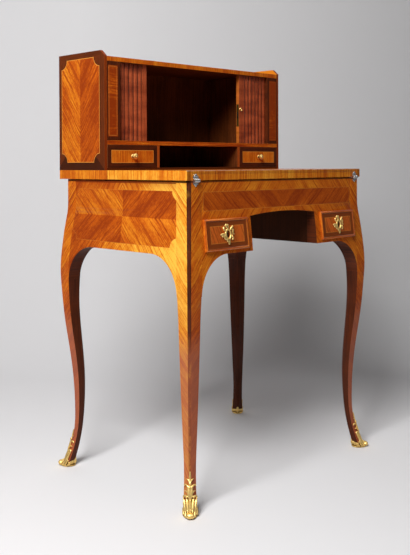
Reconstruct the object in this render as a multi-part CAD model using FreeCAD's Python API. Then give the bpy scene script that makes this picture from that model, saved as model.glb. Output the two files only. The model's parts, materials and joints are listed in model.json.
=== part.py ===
"""Bonheur du jour: a cabriole writing table with a fold-over leaf, drawers and a tambour cabinet.

Millimetres, +Z up, +Y to the back, origin on the floor under the middle of the whole desk.
"""
import os
from math import ceil, cos, pi, sin, sqrt

import FreeCAD
import Part

# Driving dimensions: table
top_width = 628.0
top_depth = 442.0
top_height = 720.0
top_thick = 21.0
leaf_depth = 260.0
side_overhang = 5.0
rear_overhang = 20.0
shadow_gap = 2.2
apron_thick = 20.0
apron_height = 156.0
bracket_radius = 84.0
kneehole_rise = 77.0
kneehole_crown = 7.0
cheek_thick = 8.0
case_board = 6.0
bed_thick = 12.0
leather_thick = 1.2
leather_border = 30.0

# Legs: share of the leg's height, swell beyond the top corner, width of a face, flat of the inner arris
leg_stations = (
    (1.000, 0.0, 38.0, 2.0),
    (0.919, 0.0, 38.0, 2.0),
    (0.853, 4.2, 38.0, 2.0),
    (0.778, 9.7, 38.0, 2.0),
    (0.690, 13.2, 38.0, 3.0),
    (0.610, 10.9, 34.0, 5.0),
    (0.514, 6.0, 31.0, 7.0),
    (0.410, -2.0, 28.0, 9.0),
    (0.316, -8.0, 25.0, 9.0),
    (0.200, -11.0, 20.5, 8.0),
    (0.120, -9.0, 18.0, 7.0),
    (0.050, 0.0, 19.0, 5.0),
    (0.000, 9.0, 21.0, 5.0),
)
leg_width = leg_stations[0][2]
knee_swell = max(station[1] for station in leg_stations)
arris_flat_top = 10.0
arris_flat_foot = 5.0

# Shoes of the feet
shoe_floor = 3.0
shoe_wall = 2.2
shoe_heel = 24.0
shoe_throat = 44.0
tongue_top = 90.0
tongue_width = 15.0
toe_radius = 7.0
toe_width = 10.0

# Hinges of the leaf
hinge_inset = 20.0
hinge_reach = 2.2
knuckle_radius = 4.6
knuckle_count = 3
knuckle_length = 5.0
knuckle_gap = 0.2
hinge_pin_radius = 1.5
plate_thick = 2.4
plate_proud = 1.0
leaf_plate_width = 15.4
leaf_plate_height = 9.0
leg_plate_height = 7.0

# Cabinet on the top
cabinet_setback = 8.0
cabinet_height = 277.0
gallery = 14.0
cabinet_side = 8.0
cabinet_board = 11.0
cabinet_base = 5.0
cabinet_back = 6.0
shelf_thick = 10.0
small_drawer_bay = 54.0
divider_thick = 8.0
pigeonhole_width = 284.0
stile_width = 40.0
stile_thick = 8.0
ear_cut_depth = 15.0
ear_cut_height = 13.0
pocket_width = 92.0
lining_thick = 4.0

# Tambour shutters
slat_pitch = 14.0
slat_gap = 0.3
slat_thick = 7.0
lead_width = 12.5
lead_thick = 10.0
track_radius = 26.0
shutter_clear = 0.8
left_shutter_open = 176.0
right_shutter_open = 158.0
reed_depth = 2.4
lock_rise = 75.0
lock_plate_height = 60.0
lock_plate_thick = 1.2
lock_bolt_width = 4.0
lock_bolt_height = 16.0
lock_bolt_length = 9.0
lock_bolt_throw = 6.0
keyhole_ring = 5.0

# Drawers
drawer_wall = 6.0
drawer_bottom = 4.0
small_front_thick = 10.0
small_box_depth = 140.0
small_box_height = 44.0
knob_ball = 6.5
knob_neck = 2.6
knob_base = 4.6
knob_reach = 12.5
drawer_front_width = 137.0
drawer_front_height = 68.0
drawer_inset = 37.5
drawer_margin = 16.5
drawer_drop = 8.0
drawer_lip = 6.5
drawer_proud = 7.0
drawer_swell = 8.0
drawer_plug = 14.0
drawer_box_depth = 330.0
escutcheon_width = 34.0
escutcheon_height = 42.0
escutcheon_thick = 3.0
keyhole_radius = 2.4
keyhole_slot = 9.0
lock_case_width = 40.0
lock_case_height = 26.0
lock_case_depth = 11.0
drawer_bolt_width = 16.0

# Clearances
running = 0.3
side_play = 0.6
pin_play = 0.05
spare = 1.0

# Places worked out from the sizes above
front_reach = drawer_swell + drawer_proud + escutcheon_thick
front_y = front_reach - (top_depth + front_reach) / 2
rear_top_y = front_y + top_depth
rear_y = rear_top_y - rear_overhang
half = top_width / 2
carcass_half = half - side_overhang
leaf_under = top_height - top_thick
bed_top = leaf_under - running
carcass_top = bed_top - shadow_gap
apron_bottom = carcass_top - apron_height
bed_under = bed_top - bed_thick
inner_front = front_y + apron_thick
inner_rear = rear_y - apron_thick
seam_y = front_y + leaf_depth
cabinet_y = seam_y + cabinet_setback
back_y = rear_top_y - cabinet_back
side_x = half - cabinet_side
shelf_under = top_height + cabinet_base + small_drawer_bay
shelf_top = shelf_under + shelf_thick
gallery_top = top_height + cabinet_height
board_top = gallery_top - gallery
board_under = board_top - cabinet_board
kneehole_top = apron_bottom + kneehole_rise
drawer_x = carcass_half - drawer_inset
knee_half = drawer_x - drawer_front_width - drawer_margin
case_x = drawer_x - drawer_lip + side_play
hinge_y = front_y - hinge_reach
hinge_z = (leaf_under + bed_top) / 2
hinge_x = carcass_half - hinge_inset
knuckle_step = knuckle_length + knuckle_gap
barrel_length = knuckle_count * knuckle_step - knuckle_gap
barrel_start = hinge_x - barrel_length / 2
tambour_y = cabinet_y + stile_thick + shutter_clear
canvas_y = tambour_y + slat_thick
track_x = side_x - running - slat_thick
bend_x = track_x - track_radius

V = FreeCAD.Vector
X_AXIS = V(1, 0, 0)
Y_AXIS = V(0, 1, 0)
Z_AXIS = V(0, 0, 1)
ORIGIN = V(0, 0, 0)
FAR = 1000.0


def block(x0, x1, y0, y1, z0, z1):
    """A box between two corners."""
    low = V(min(x0, x1), min(y0, y1), min(z0, z1))
    return Part.makeBox(abs(x1 - x0), abs(y1 - y0), abs(z1 - z0), low)


def rod(radius, length, start, direction):
    """A cylinder from a start point along a direction."""
    return Part.makeCylinder(radius, length, start, direction)


def mirrored(shape):
    """The same shape on the other side of the middle plane."""
    return shape.mirror(ORIGIN, X_AXIS)


def on_side(shape, side):
    """A shape drawn on the right, kept there for side 1 or mirrored for side -1."""
    return shape if side > 0 else mirrored(shape)


def prism(points, direction):
    """A closed polygon drawn out along a direction."""
    return Part.Face(Part.makePolygon(points + points[:1])).extrude(direction)


def drawn_out(edges, direction):
    """A closed outline of edges, in order, drawn out along a direction."""
    return Part.Face(Part.Wire(edges)).extrude(direction)


def line(start, end):
    return Part.LineSegment(start, end).toShape()


def curve_down(points):
    """A smooth edge through points that starts straight down."""
    spline = Part.BSplineCurve()
    down = V(0, 0, -1)
    last = (points[-1] - points[-2]).normalize()
    spline.interpolate(Points=points, InitialTangent=down, FinalTangent=last)
    return spline.toShape()


def leg_height(share):
    return shoe_floor + share * (carcass_top - shoe_floor)


def station_points(offset_of):
    """Points of one leg outline, from the top down; offset_of maps a station to its distance out."""
    return [V(offset_of(station), 0, leg_height(station[0])) for station in leg_stations]


def swell(station):
    return station[1]


def back_of_leg(station):
    return station[1] - station[2]


def outer_arris(station):
    """Distance of the flattened outer arris from the corner, along the diagonal."""
    flat = arris_flat_foot + station[0] * (arris_flat_top - arris_flat_foot)
    return sqrt(2) * station[1] - flat / 2


def inner_arris(station):
    """Distance of the flattened inner arris from the corner, along the diagonal."""
    return sqrt(2) * back_of_leg(station) + station[3] / 2


def side_edges(points):
    """Edges of an outline's long side: straight along the top stretch, curved below it."""
    return [line(points[0], points[1]), curve_down(points[1:])]


def sawn(outer, inner, depth):
    """A board sawn to an outer and an inner outline in the XZ plane, centred on Y."""
    bottom = line(outer[-1], inner[-1])
    top = line(inner[0], outer[0])
    edges = side_edges(outer) + [bottom] + side_edges(inner) + [top]
    wire = Part.Wire(Part.__sortEdges__(edges))
    return Part.Face(wire).extrude(V(0, depth, 0)).translated(V(0, -depth / 2, 0))


def shifted(points, distance):
    return [point + V(distance, 0, 0) for point in points]


def turned(shape, degrees):
    return shape.rotated(ORIGIN, Z_AXIS, degrees)


def square_post(grow):
    """The leg's square post, grown by an amount on its four faces; its top corner is at 0, 0."""
    outer = shifted(station_points(swell), grow)
    inner = shifted(station_points(back_of_leg), -grow)
    across = sawn(outer, inner, FAR)
    return across.common(turned(across, 90))


def diagonal_bound(grow):
    """Everything between the flattened outer and inner arrises, along the leg's diagonal."""
    outer = shifted(station_points(outer_arris), grow)
    inner = shifted(station_points(inner_arris), -grow)
    return turned(sawn(outer, inner, FAR), 45)


def make_leg():
    """One leg, with its top outer corner over 0, 0 and its outer faces towards +X and +Y."""
    return square_post(0).common(diagonal_bound(0))


def make_shoe(leg):
    """A bronze shoe round the foot: a cup with a slanted throat, a leaf tongue and a toe scroll."""
    grown = square_post(shoe_wall).common(diagonal_bound(shoe_wall))
    foot = leg_stations[-1]
    low, high = foot[1] - foot[2] - shoe_wall, foot[1] + shoe_wall
    sole = block(low, high, low, high, 0, shoe_floor)
    heel = inner_arris(foot) - shoe_wall
    throat = [
        V(heel, 0, 0),
        V(leg_width, 0, 0),
        V(leg_width, 0, shoe_throat),
        V(heel, 0, shoe_heel),
    ]
    below = turned(prism(throat, V(0, 2 * FAR, 0)).translated(V(0, -FAR, 0)), 45)
    arris_side = block(-leg_width / 2, leg_width, -tongue_width / 2, tongue_width / 2, 0, tongue_top)
    tongue = grown.common(turned(arris_side, 45))
    toe_place = turned(rod(toe_radius, toe_width, V(0, -toe_width / 2, 0), Y_AXIS), 45)
    toe = toe_place.translated(V(foot[1], foot[1], toe_radius))
    cup = grown.common(below).fuse([sole, tongue, toe])
    return cup.cut(leg).removeSplitter()


def at_corner(shape, right, rear):
    """A leg or shoe drawn at the corner 0, 0, moved to one of the table's four corners."""
    if not rear:
        shape = shape.mirror(ORIGIN, Y_AXIS)
    if not right:
        shape = mirrored(shape)
    place = V(carcass_half if right else -carcass_half, rear_y if rear else front_y, 0)
    return shape.translated(place)


def swelled_board(offset, inner, length):
    """A board along X whose front face swells like the legs, offset forward, back to y = inner."""
    outer = [V(0, front_y - p.x - offset, p.z) for p in station_points(swell)]
    low, high = V(0, inner, outer[-1].z), V(0, inner, outer[0].z)
    edges = side_edges(outer) + [line(outer[-1], low), line(low, high), line(high, outer[0])]
    wire = Part.Wire(Part.__sortEdges__(edges))
    return Part.Face(wire).extrude(V(length, 0, 0)).translated(V(-length / 2, 0, 0))


def bracket_edges(tip_u, to_point, sign):
    """The quarter round that carries an apron's bottom edge down onto a leg."""
    tip_z = apron_bottom - bracket_radius
    bend = bracket_radius * (1 - cos(pi / 4))
    middle = to_point(sign * (tip_u - bend), apron_bottom - bend)
    foot = to_point(sign * tip_u, tip_z)
    spring = to_point(sign * (tip_u - bracket_radius), apron_bottom)
    return foot, spring, Part.Arc(foot, middle, spring).toShape()


def apron_outline(half_length, to_point, middle_edges, reach):
    """A frieze board's outline between two legs, with a bracket at each end."""
    end_u = half_length - leg_width / 2
    tip_u = half_length - leg_width + knee_swell
    tip_z = apron_bottom - bracket_radius
    right_foot, right_spring, right_arc = bracket_edges(tip_u, to_point, 1)
    left_foot, left_spring, left_arc = bracket_edges(tip_u, to_point, -1)
    corners = [
        to_point(-end_u, tip_z),
        to_point(-end_u, carcass_top),
        to_point(end_u, carcass_top),
        to_point(end_u, tip_z),
    ]
    edges = [left_arc, line(left_foot, corners[0])]
    edges += [line(a, b) for a, b in zip(corners, corners[1:])]
    edges += [line(corners[-1], right_foot), right_arc]
    edges += middle_edges(left_spring, right_spring)
    wire = Part.Wire(Part.__sortEdges__(edges))
    return Part.Face(wire).extrude(reach)


def straight_bottom(left, right):
    return [line(left, right)]


def kneehole_bottom(left, right):
    """The front's bottom edge: straight under each drawer, with the arched kneehole between."""
    y = left.y
    low_left, low_right = V(-knee_half, y, apron_bottom), V(knee_half, y, apron_bottom)
    high_left, high_right = V(-knee_half, y, kneehole_top), V(knee_half, y, kneehole_top)
    crown = V(0, y, kneehole_top + kneehole_crown)
    return [
        line(left, low_left),
        line(low_left, high_left),
        Part.Arc(high_left, crown, high_right).toShape(),
        line(high_right, low_right),
        line(low_right, right),
    ]


def make_front_apron():
    """Front board with the kneehole arch, two drawer openings and the bolt mortises above them."""
    board = swelled_board(0, inner_front, top_width)
    outline = apron_outline(carcass_half, lambda u, z: V(u, -FAR, z), kneehole_bottom, V(0, 2 * FAR, 0))
    board = board.common(outline)
    for side in (1, -1):
        x0, x1, z0, z1 = drawer_opening()
        board = board.cut(block(side * x0, side * x1, -FAR, FAR, z0, z1))
        board = board.cut(on_side(drawer_bolt_path(running), side))
    return board


def make_rear_apron():
    """Rear board, swelled like the front and plain below."""
    board = swelled_board(0, inner_front, top_width)
    outline = apron_outline(carcass_half, lambda u, z: V(u, -FAR, z), straight_bottom, V(0, 2 * FAR, 0))
    return board.common(outline).mirror(V(0, (front_y + rear_y) / 2, 0), Y_AXIS)


def make_side_apron():
    """Right-hand side board between the front and rear legs."""
    depth = rear_y - front_y
    middle = (front_y + rear_y) / 2
    board = turned(swelled_board(0, inner_front, depth), 90)
    board = board.translated(V(carcass_half + front_y, middle, 0))
    outline = apron_outline(depth / 2, lambda u, z: V(-FAR, u + middle, z), straight_bottom, V(2 * FAR, 0, 0))
    return board.common(outline)


def drawer_face():
    """Edges of the right lower drawer's lipped face: inner x, outer x, bottom z, top z."""
    z0 = apron_bottom + drawer_drop
    return drawer_x - drawer_front_width, drawer_x, z0, z0 + drawer_front_height


def drawer_opening():
    """Edges of the opening that the right lower drawer runs in."""
    x0, x1, z0, z1 = drawer_face()
    return x0 + drawer_lip, x1 - drawer_lip, z0 + drawer_lip, z1 - drawer_lip


def drawer_body():
    """Edges of the drawer behind its lip: the opening less its play."""
    x0, x1, z0, z1 = drawer_opening()
    return x0 + side_play, x1 - side_play, z0 + running, z1 - side_play


def drawer_middle():
    x0, x1, z0, z1 = drawer_face()
    return (x0 + x1) / 2, (z0 + z1) / 2


def drawer_bolt(grow, rise):
    """The right drawer lock's bolt, or the path it clears, lifted by rise at its top."""
    x, _ = drawer_middle()
    top = drawer_body()[3]
    y = front_y + drawer_plug - lock_case_depth / 2
    wide = drawer_bolt_width / 2 + grow
    deep = lock_bolt_width / 2 + grow
    return block(x - wide, x + wide, y - deep, y + deep, top - lock_bolt_length - grow, top + rise)


def drawer_bolt_path(grow):
    return drawer_bolt(grow, side_play + lock_bolt_throw + running)


def drawer_lock_case():
    x, _ = drawer_middle()
    top = drawer_body()[3]
    y = front_y + drawer_plug
    wide = lock_case_width / 2
    return block(x - wide, x + wide, y - lock_case_depth, y, top - lock_case_height, top)


def keyhole(x, z, y0, y1):
    """A round hole over a slot, cut along Y."""
    hole = rod(keyhole_radius, y1 - y0, V(x, y0, z), Y_AXIS)
    slot = block(x - keyhole_radius / 2, x + keyhole_radius / 2, y0, y1, z - keyhole_slot, z)
    return hole.fuse(slot)


def make_drawer_front():
    """Right lower drawer's front: a swelled, lipped face on a plug that fills the opening."""
    x0, x1, z0, z1 = drawer_face()
    bx0, bx1, bz0, bz1 = drawer_body()
    plug_y = front_y + drawer_plug
    face = swelled_board(running + drawer_proud, plug_y, top_width)
    behind = swelled_board(running, plug_y + spare, 2 * top_width)
    lip = face.common(block(x0, x1, -FAR, FAR, z0, z1)).cut(behind)
    plug = face.common(block(bx0, bx1, -FAR, FAR, bz0, bz1))
    x, z = drawer_middle()
    front = lip.fuse(plug).removeSplitter()
    front = front.cut(drawer_lock_case())
    return front.cut(keyhole(x, z, -FAR, plug_y - lock_case_depth))


def make_drawer_box():
    """Right lower drawer's two sides, back and bottom, as separate boards."""
    x0, x1, z0, z1 = drawer_body()
    y0 = front_y + drawer_plug
    y1 = y0 + drawer_box_depth
    floor_z = z0 + drawer_bottom
    inner0, inner1 = x0 + drawer_wall, x1 - drawer_wall
    return [
        block(x0, inner0, y0, y1, z0, z1),
        block(inner1, x1, y0, y1, z0, z1),
        block(inner0, inner1, y1 - drawer_wall, y1, floor_z, z1),
        block(inner0, inner1, y0, y1, z0, floor_z),
    ]


def make_escutcheon():
    """Bronze escutcheon on the right lower drawer, an oval plate that follows the swelled face."""
    x, z = drawer_middle()
    plate = swelled_board(running + drawer_proud + escutcheon_thick, front_y, top_width)
    under = swelled_board(running + drawer_proud, front_y + spare, 2 * top_width)
    oval = Part.Ellipse(ORIGIN, escutcheon_height / 2, escutcheon_width / 2).toShape()
    oval = Part.Face(Part.Wire([oval])).extrude(V(0, 0, 2 * FAR))
    oval = oval.rotated(ORIGIN, Z_AXIS, 90).rotated(ORIGIN, X_AXIS, 90).translated(V(x, FAR, z))
    return plate.common(oval).cut(under).cut(keyhole(x, z, -FAR, FAR))


def make_drawer_case():
    """Boards round the right lower drawer: floor, dust board above and outer guide."""
    x0 = knee_half + cheek_thick
    _, _, z0, z1 = drawer_opening()
    top = z1 + side_play
    return [
        block(x0, case_x, inner_front, inner_rear, z0 - case_board, z0),
        block(x0, case_x, inner_front, inner_rear, top, top + case_board),
        block(case_x, case_x + case_board, inner_front, inner_rear, z0 - case_board, top + case_board),
    ]


def make_cheek():
    return block(knee_half, knee_half + cheek_thick, inner_front, inner_rear, apron_bottom, bed_under)


def make_ceiling():
    z = kneehole_top + kneehole_crown
    return block(-knee_half, knee_half, inner_front, inner_rear, z, z + case_board)


def leather_pad(z0, z1):
    x = carcass_half - apron_thick - leather_border
    return block(-x, x, inner_front + leather_border, seam_y - leather_border, z0, z1)


def make_bed(legs):
    """Board inside the frieze that closes the carcass, with a sunk place for the leather."""
    x = carcass_half - apron_thick
    bed = block(-x, x, inner_front, inner_rear, bed_under, bed_top)
    return bed.cut([leather_pad(bed_top - leather_thick, bed_top + spare)] + legs)


def make_fixed_top():
    return block(-half, half, seam_y, rear_top_y, bed_top, top_height)


def hinge_knuckle(index):
    """One knuckle of the right-hand hinge, counted along X."""
    start = V(barrel_start + index * knuckle_step, hinge_y, hinge_z)
    return rod(knuckle_radius, knuckle_length, start, X_AXIS)


def pin_bore(play):
    return rod(hinge_pin_radius + play, 2 * FAR, V(-FAR, hinge_y, hinge_z), X_AXIS)


def hinge_neck(index, rise):
    """A strap from one knuckle to its plate, above the axis for a positive rise."""
    start = barrel_start + index * knuckle_step
    y0 = front_y - plate_proud
    return block(start, start + knuckle_length, y0, y0 + plate_thick, hinge_z, hinge_z + rise)


def plate_foot():
    """Distance of a plate's near edge from the hinge axis."""
    return knuckle_radius + running + knuckle_gap


def make_leaf_plate():
    """Right-hand hinge plate on the leaf: a tab with a round head on the middle knuckle."""
    y0 = front_y - plate_proud
    z0 = hinge_z + plate_foot()
    z1 = z0 + leaf_plate_height - leaf_plate_width / 4
    wide = leaf_plate_width / 2
    tab = block(hinge_x - wide, hinge_x + wide, y0, y0 + plate_thick, z0, z1)
    head = rod(wide / 2, plate_thick, V(hinge_x, y0, z1), Y_AXIS)
    neck = hinge_neck(1, plate_foot() + spare)
    return hinge_knuckle(1).fuse([neck, tab, head]).removeSplitter().cut(pin_bore(pin_play))


def make_leg_plate():
    """Right-hand hinge plate on the leg: a tab with a round foot on the two outer knuckles."""
    y0 = front_y - plate_proud
    z1 = hinge_z - plate_foot()
    wide = barrel_length / 2
    z0 = z1 - leg_plate_height + wide / 2
    tab = block(hinge_x - wide, hinge_x + wide, y0, y0 + plate_thick, z0, z1)
    head = rod(wide / 2, plate_thick, V(hinge_x, y0, z0), Y_AXIS)
    necks = [hinge_neck(index, -plate_foot() - spare) for index in (0, 2)]
    parts = [hinge_knuckle(2), tab, head] + necks
    return hinge_knuckle(0).fuse(parts).removeSplitter().cut(pin_bore(0))


def make_hinge_pin():
    return rod(hinge_pin_radius, barrel_length, V(barrel_start, hinge_y, hinge_z), X_AXIS)


def hinge_room():
    """Space that the right-hand hinge's barrel needs in the leaf and in the leg."""
    start = V(barrel_start - knuckle_gap, hinge_y, hinge_z)
    return rod(knuckle_radius + running, barrel_length + 2 * knuckle_gap, start, X_AXIS)


def make_leaf(plates):
    """Writing leaf, with a sunk place for its leather below and mortises for the hinges."""
    leaf = block(-half, half, front_y, seam_y - running, leaf_under, top_height)
    leaf = leaf.cut(leather_pad(leaf_under - spare, leaf_under + leather_thick))
    for side, plate in zip((1, -1), plates):
        leaf = leaf.cut(on_side(hinge_room(), side)).cut(plate)
    return leaf


def make_cabinet_side():
    """Right side board of the cabinet, with its front top corner cut off."""
    outline = [
        V(side_x, cabinet_y, top_height),
        V(side_x, rear_top_y, top_height),
        V(side_x, rear_top_y, gallery_top),
        V(side_x, cabinet_y + ear_cut_depth, gallery_top),
        V(side_x, cabinet_y, gallery_top - ear_cut_height),
    ]
    return prism(outline, V(cabinet_side, 0, 0))


def make_stile():
    return block(side_x - stile_width, side_x, cabinet_y, cabinet_y + stile_thick, shelf_top, board_under)


def make_divider():
    x = pigeonhole_width / 2
    return block(x, x + divider_thick, cabinet_y, back_y, top_height + cabinet_base, shelf_under)


def make_lining():
    x = side_x - pocket_width
    front = tambour_y + lead_thick + running
    return block(x - lining_thick, x, front, back_y, shelf_top, board_under)


def shutter_heights():
    """Bottom and top of the shutters between the shelf and the top board."""
    return shelf_top + running, board_under - running


def make_lead(x):
    """Leading stile of a right-hand shutter whose free edge is at x."""
    z0, z1 = shutter_heights()
    return block(x, x + lead_width, tambour_y, tambour_y + lead_thick, z0, z1)


def slat_count(x):
    """Slats that fit between the leading stile of a shutter open to x and the pocket's first bend."""
    return int((bend_x - x - lead_width) // slat_pitch)


def tail_count(count):
    """Slats stored in the pocket, enough for the shut shutter to reach behind its stile."""
    return ceil((side_x - stile_width - lead_width) / slat_pitch) - count


def make_slats(x, count):
    """Rigid run of reeded slats behind the leading stile of a right-hand shutter."""
    z0, z1 = shutter_heights()
    slats = []
    for index in range(count):
        left = x + lead_width + index * slat_pitch + slat_gap / 2
        right = left + slat_pitch - slat_gap
        crown = V((left + right) / 2, tambour_y, z0)
        corners = [
            V(right, tambour_y + reed_depth, z0),
            V(right, canvas_y, z0),
            V(left, canvas_y, z0),
            V(left, tambour_y + reed_depth, z0),
        ]
        edges = [line(a, b) for a, b in zip(corners, corners[1:])]
        edges.append(Part.Arc(corners[-1], crown, corners[0]).toShape())
        slats.append(drawn_out(edges, V(0, 0, z1 - z0)))
    return slats


def track_point(start_x, distance):
    """Point of the canvas line in the right-hand pocket, at a distance along it from start_x."""
    rear_y_line = back_y - running - slat_thick
    turn = track_radius * pi / 2
    first = bend_x - start_x
    second = rear_y_line - canvas_y - 2 * track_radius
    if distance < first:
        return V(start_x + distance, canvas_y, 0)
    distance -= first
    if distance < turn:
        angle = distance / track_radius
        reach = track_radius * sin(angle)
        rise = track_radius * (1 - cos(angle))
        return V(bend_x + reach, canvas_y + rise, 0)
    distance -= turn
    if distance < second:
        return V(track_x, canvas_y + track_radius + distance, 0)
    distance -= second
    if distance < turn:
        angle = distance / track_radius
        reach = track_radius * (1 - cos(angle))
        rise = track_radius * sin(angle)
        return V(track_x - reach, rear_y_line - track_radius + rise, 0)
    distance -= turn
    return V(bend_x - distance, rear_y_line, 0)


def make_tail(start_x, count):
    """Slats stored in the right-hand pocket, each a chord of the track from start_x on."""
    z0, z1 = shutter_heights()
    slats = []
    for index in range(count):
        begin = track_point(start_x, index * slat_pitch + slat_gap / 2)
        end = track_point(start_x, (index + 1) * slat_pitch - slat_gap / 2)
        along = (end - begin).normalize()
        out = V(along.y, -along.x, 0) * slat_thick
        lift = V(0, 0, z0)
        corners = [begin + lift, end + lift, end + out + lift, begin + out + lift]
        slats.append(prism(corners, V(0, 0, z1 - z0)))
    return slats


def lock_plate(x, thick):
    """Brass edge plate of a shutter's leading stile, from x over its thickness."""
    z = shelf_top + lock_rise
    y = tambour_y + lead_thick / 2
    deep = lead_thick / 2 - spare
    return block(x, x + thick, y - deep, y + deep, z - lock_plate_height / 2, z + lock_plate_height / 2)


def shutter_bolt(x0, x1, grow):
    """The tambour lock's bolt between two x, grown by a play."""
    z = shelf_top + lock_rise
    y = tambour_y + lead_thick / 2
    deep = lock_bolt_width / 2 + grow
    tall = lock_bolt_height / 2 + grow
    return block(x0, x1, y - deep, y + deep, z - tall, z + tall)


def make_keyhole_ring(x):
    """Small ring on the face of the right leading stile."""
    z = shelf_top + lock_rise
    start = V(x + lead_width / 2, tambour_y, z + lock_bolt_height)
    ring = rod(keyhole_ring, lock_plate_thick, start, -Y_AXIS)
    return ring.cut(rod(keyhole_radius, lock_plate_thick, start, -Y_AXIS))


def small_drawer_edges():
    """Edges of the right small drawer's front in its bay."""
    x0 = pigeonhole_width / 2 + divider_thick + side_play
    z0 = top_height + cabinet_base + running
    return x0, side_x - side_play, z0, shelf_under - side_play


def make_small_front():
    x0, x1, z0, z1 = small_drawer_edges()
    return block(x0, x1, cabinet_y, cabinet_y + small_front_thick, z0, z1)


def make_small_box():
    """Right small drawer's two sides, back and bottom, as separate boards."""
    x0, x1, z0, _ = small_drawer_edges()
    y0 = cabinet_y + small_front_thick
    y1 = y0 + small_box_depth
    z1 = z0 + small_box_height
    floor_z = z0 + drawer_bottom
    inner0, inner1 = x0 + drawer_wall, x1 - drawer_wall
    return [
        block(x0, inner0, y0, y1, z0, z1),
        block(inner1, x1, y0, y1, z0, z1),
        block(inner0, inner1, y1 - drawer_wall, y1, floor_z, z1),
        block(inner0, inner1, y0, y1, z0, floor_z),
    ]


def make_knob():
    """Turned knob of the right small drawer: a base, a neck and a ball, on its front."""
    x0, x1, z0, z1 = small_drawer_edges()
    middle = V((x0 + x1) / 2, cabinet_y, (z0 + z1) / 2)
    neck_length = knob_reach - knob_ball
    base = Part.makeCone(knob_base, knob_neck, knob_neck, middle, -Y_AXIS)
    neck = rod(knob_neck, neck_length, middle, -Y_AXIS)
    ball = Part.makeSphere(knob_ball, middle - Y_AXIS * neck_length)
    ball = ball.cut(block(-FAR, FAR, cabinet_y - spare, FAR, -FAR, FAR))
    return base.fuse([neck, ball]).removeSplitter()


def build():
    """All the nodes of the desk by name."""
    nodes = {}
    leg = make_leg()
    shoe = make_shoe(leg)
    corners = {
        "front_left": (False, False),
        "front_right": (True, False),
        "rear_left": (False, True),
        "rear_right": (True, True),
    }
    legs = {name: at_corner(leg, right, rear) for name, (right, rear) in corners.items()}
    for name, (right, rear) in corners.items():
        nodes["sabot_" + name] = at_corner(shoe, right, rear)
        nodes["leg_" + name] = legs[name]

    leg_plates = [on_side(make_leg_plate(), side) for side in (1, -1)]
    leaf_plates = [on_side(make_leaf_plate(), side) for side in (1, -1)]
    for side, name, plate in ((1, "leg_front_right", leg_plates[0]), (-1, "leg_front_left", leg_plates[1])):
        nodes[name] = nodes[name].cut(on_side(hinge_room(), side)).cut(plate)
    nodes["leg_hinge_plates"] = Part.makeCompound(leg_plates)
    nodes["leaf_hinge_plates"] = Part.makeCompound(leaf_plates)
    nodes["hinge_pins"] = Part.makeCompound([on_side(make_hinge_pin(), side) for side in (1, -1)])

    all_legs = list(legs.values())
    aprons = {
        "front_apron": make_front_apron(),
        "rear_apron": make_rear_apron(),
        "right_apron": make_side_apron(),
        "left_apron": mirrored(make_side_apron()),
    }
    for name, board in aprons.items():
        nodes[name] = board.cut(all_legs)

    nodes["bed_board"] = make_bed(all_legs)
    nodes["bed_leather"] = leather_pad(bed_top - leather_thick, bed_top)
    nodes["fixed_top"] = make_fixed_top()
    nodes["writing_leaf"] = make_leaf(leaf_plates)
    nodes["leaf_leather"] = leather_pad(leaf_under, leaf_under + leather_thick)
    nodes["kneehole_cheeks"] = Part.makeCompound([on_side(make_cheek(), side) for side in (1, -1)])
    nodes["kneehole_ceiling"] = make_ceiling()

    nodes["cabinet_top"] = block(-side_x, side_x, cabinet_y, back_y, board_under, board_top)
    nodes["cabinet_shelf"] = block(-side_x, side_x, cabinet_y, back_y, shelf_under, shelf_top)
    nodes["cabinet_base"] = block(-side_x, side_x, cabinet_y, back_y, top_height, top_height + cabinet_base)
    nodes["cabinet_back"] = block(-side_x, side_x, back_y, rear_top_y, top_height, gallery_top)
    nodes["cabinet_dividers"] = Part.makeCompound([on_side(make_divider(), side) for side in (1, -1)])
    nodes["cabinet_stiles"] = Part.makeCompound([on_side(make_stile(), side) for side in (1, -1)])
    nodes["pocket_linings"] = Part.makeCompound([on_side(make_lining(), side) for side in (1, -1)])

    for side, name in ((1, "right"), (-1, "left")):
        nodes[name + "_cabinet_side"] = on_side(make_cabinet_side(), side)
        case = [on_side(board, side).cut(all_legs) for board in make_drawer_case()]
        nodes[name + "_drawer_case"] = Part.makeCompound(case)
        nodes[name + "_drawer_front"] = on_side(make_drawer_front(), side)
        nodes[name + "_drawer_box"] = on_side(Part.makeCompound(make_drawer_box()), side)
        nodes[name + "_drawer_escutcheon"] = on_side(make_escutcheon(), side)
        nodes[name + "_drawer_lock"] = on_side(drawer_lock_case().cut(drawer_bolt_path(running)), side)
        nodes[name + "_drawer_bolt"] = on_side(drawer_bolt(0, 0), side)
        nodes[name + "_small_drawer_front"] = on_side(make_small_front(), side)
        nodes[name + "_small_drawer_box"] = on_side(Part.makeCompound(make_small_box()), side)
        nodes[name + "_small_drawer_knob"] = on_side(make_knob(), side)

    for side, name, x in ((1, "right", right_shutter_open), (-1, "left", left_shutter_open)):
        count = slat_count(x)
        tail_x = x + lead_width + count * slat_pitch
        path = shutter_bolt(x - spare, x + lock_bolt_length + running, running)
        plate = lock_plate(x, lock_plate_thick)
        lead = make_lead(x).cut(plate).cut(path)
        nodes[name + "_tambour_lead"] = on_side(lead, side)
        nodes[name + "_tambour_slats"] = on_side(Part.makeCompound(make_slats(x, count)), side)
        nodes[name + "_tambour_tail"] = on_side(Part.makeCompound(make_tail(tail_x, tail_count(count))), side)
        plate_name = "tambour_lock_plate" if side > 0 else "tambour_strike_plate"
        nodes[plate_name] = on_side(plate.cut(path), side)
    bolt_start = right_shutter_open
    nodes["tambour_bolt"] = shutter_bolt(bolt_start, bolt_start + lock_bolt_length, 0)
    nodes["tambour_keyhole_ring"] = make_keyhole_ring(right_shutter_open)
    return nodes


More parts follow.
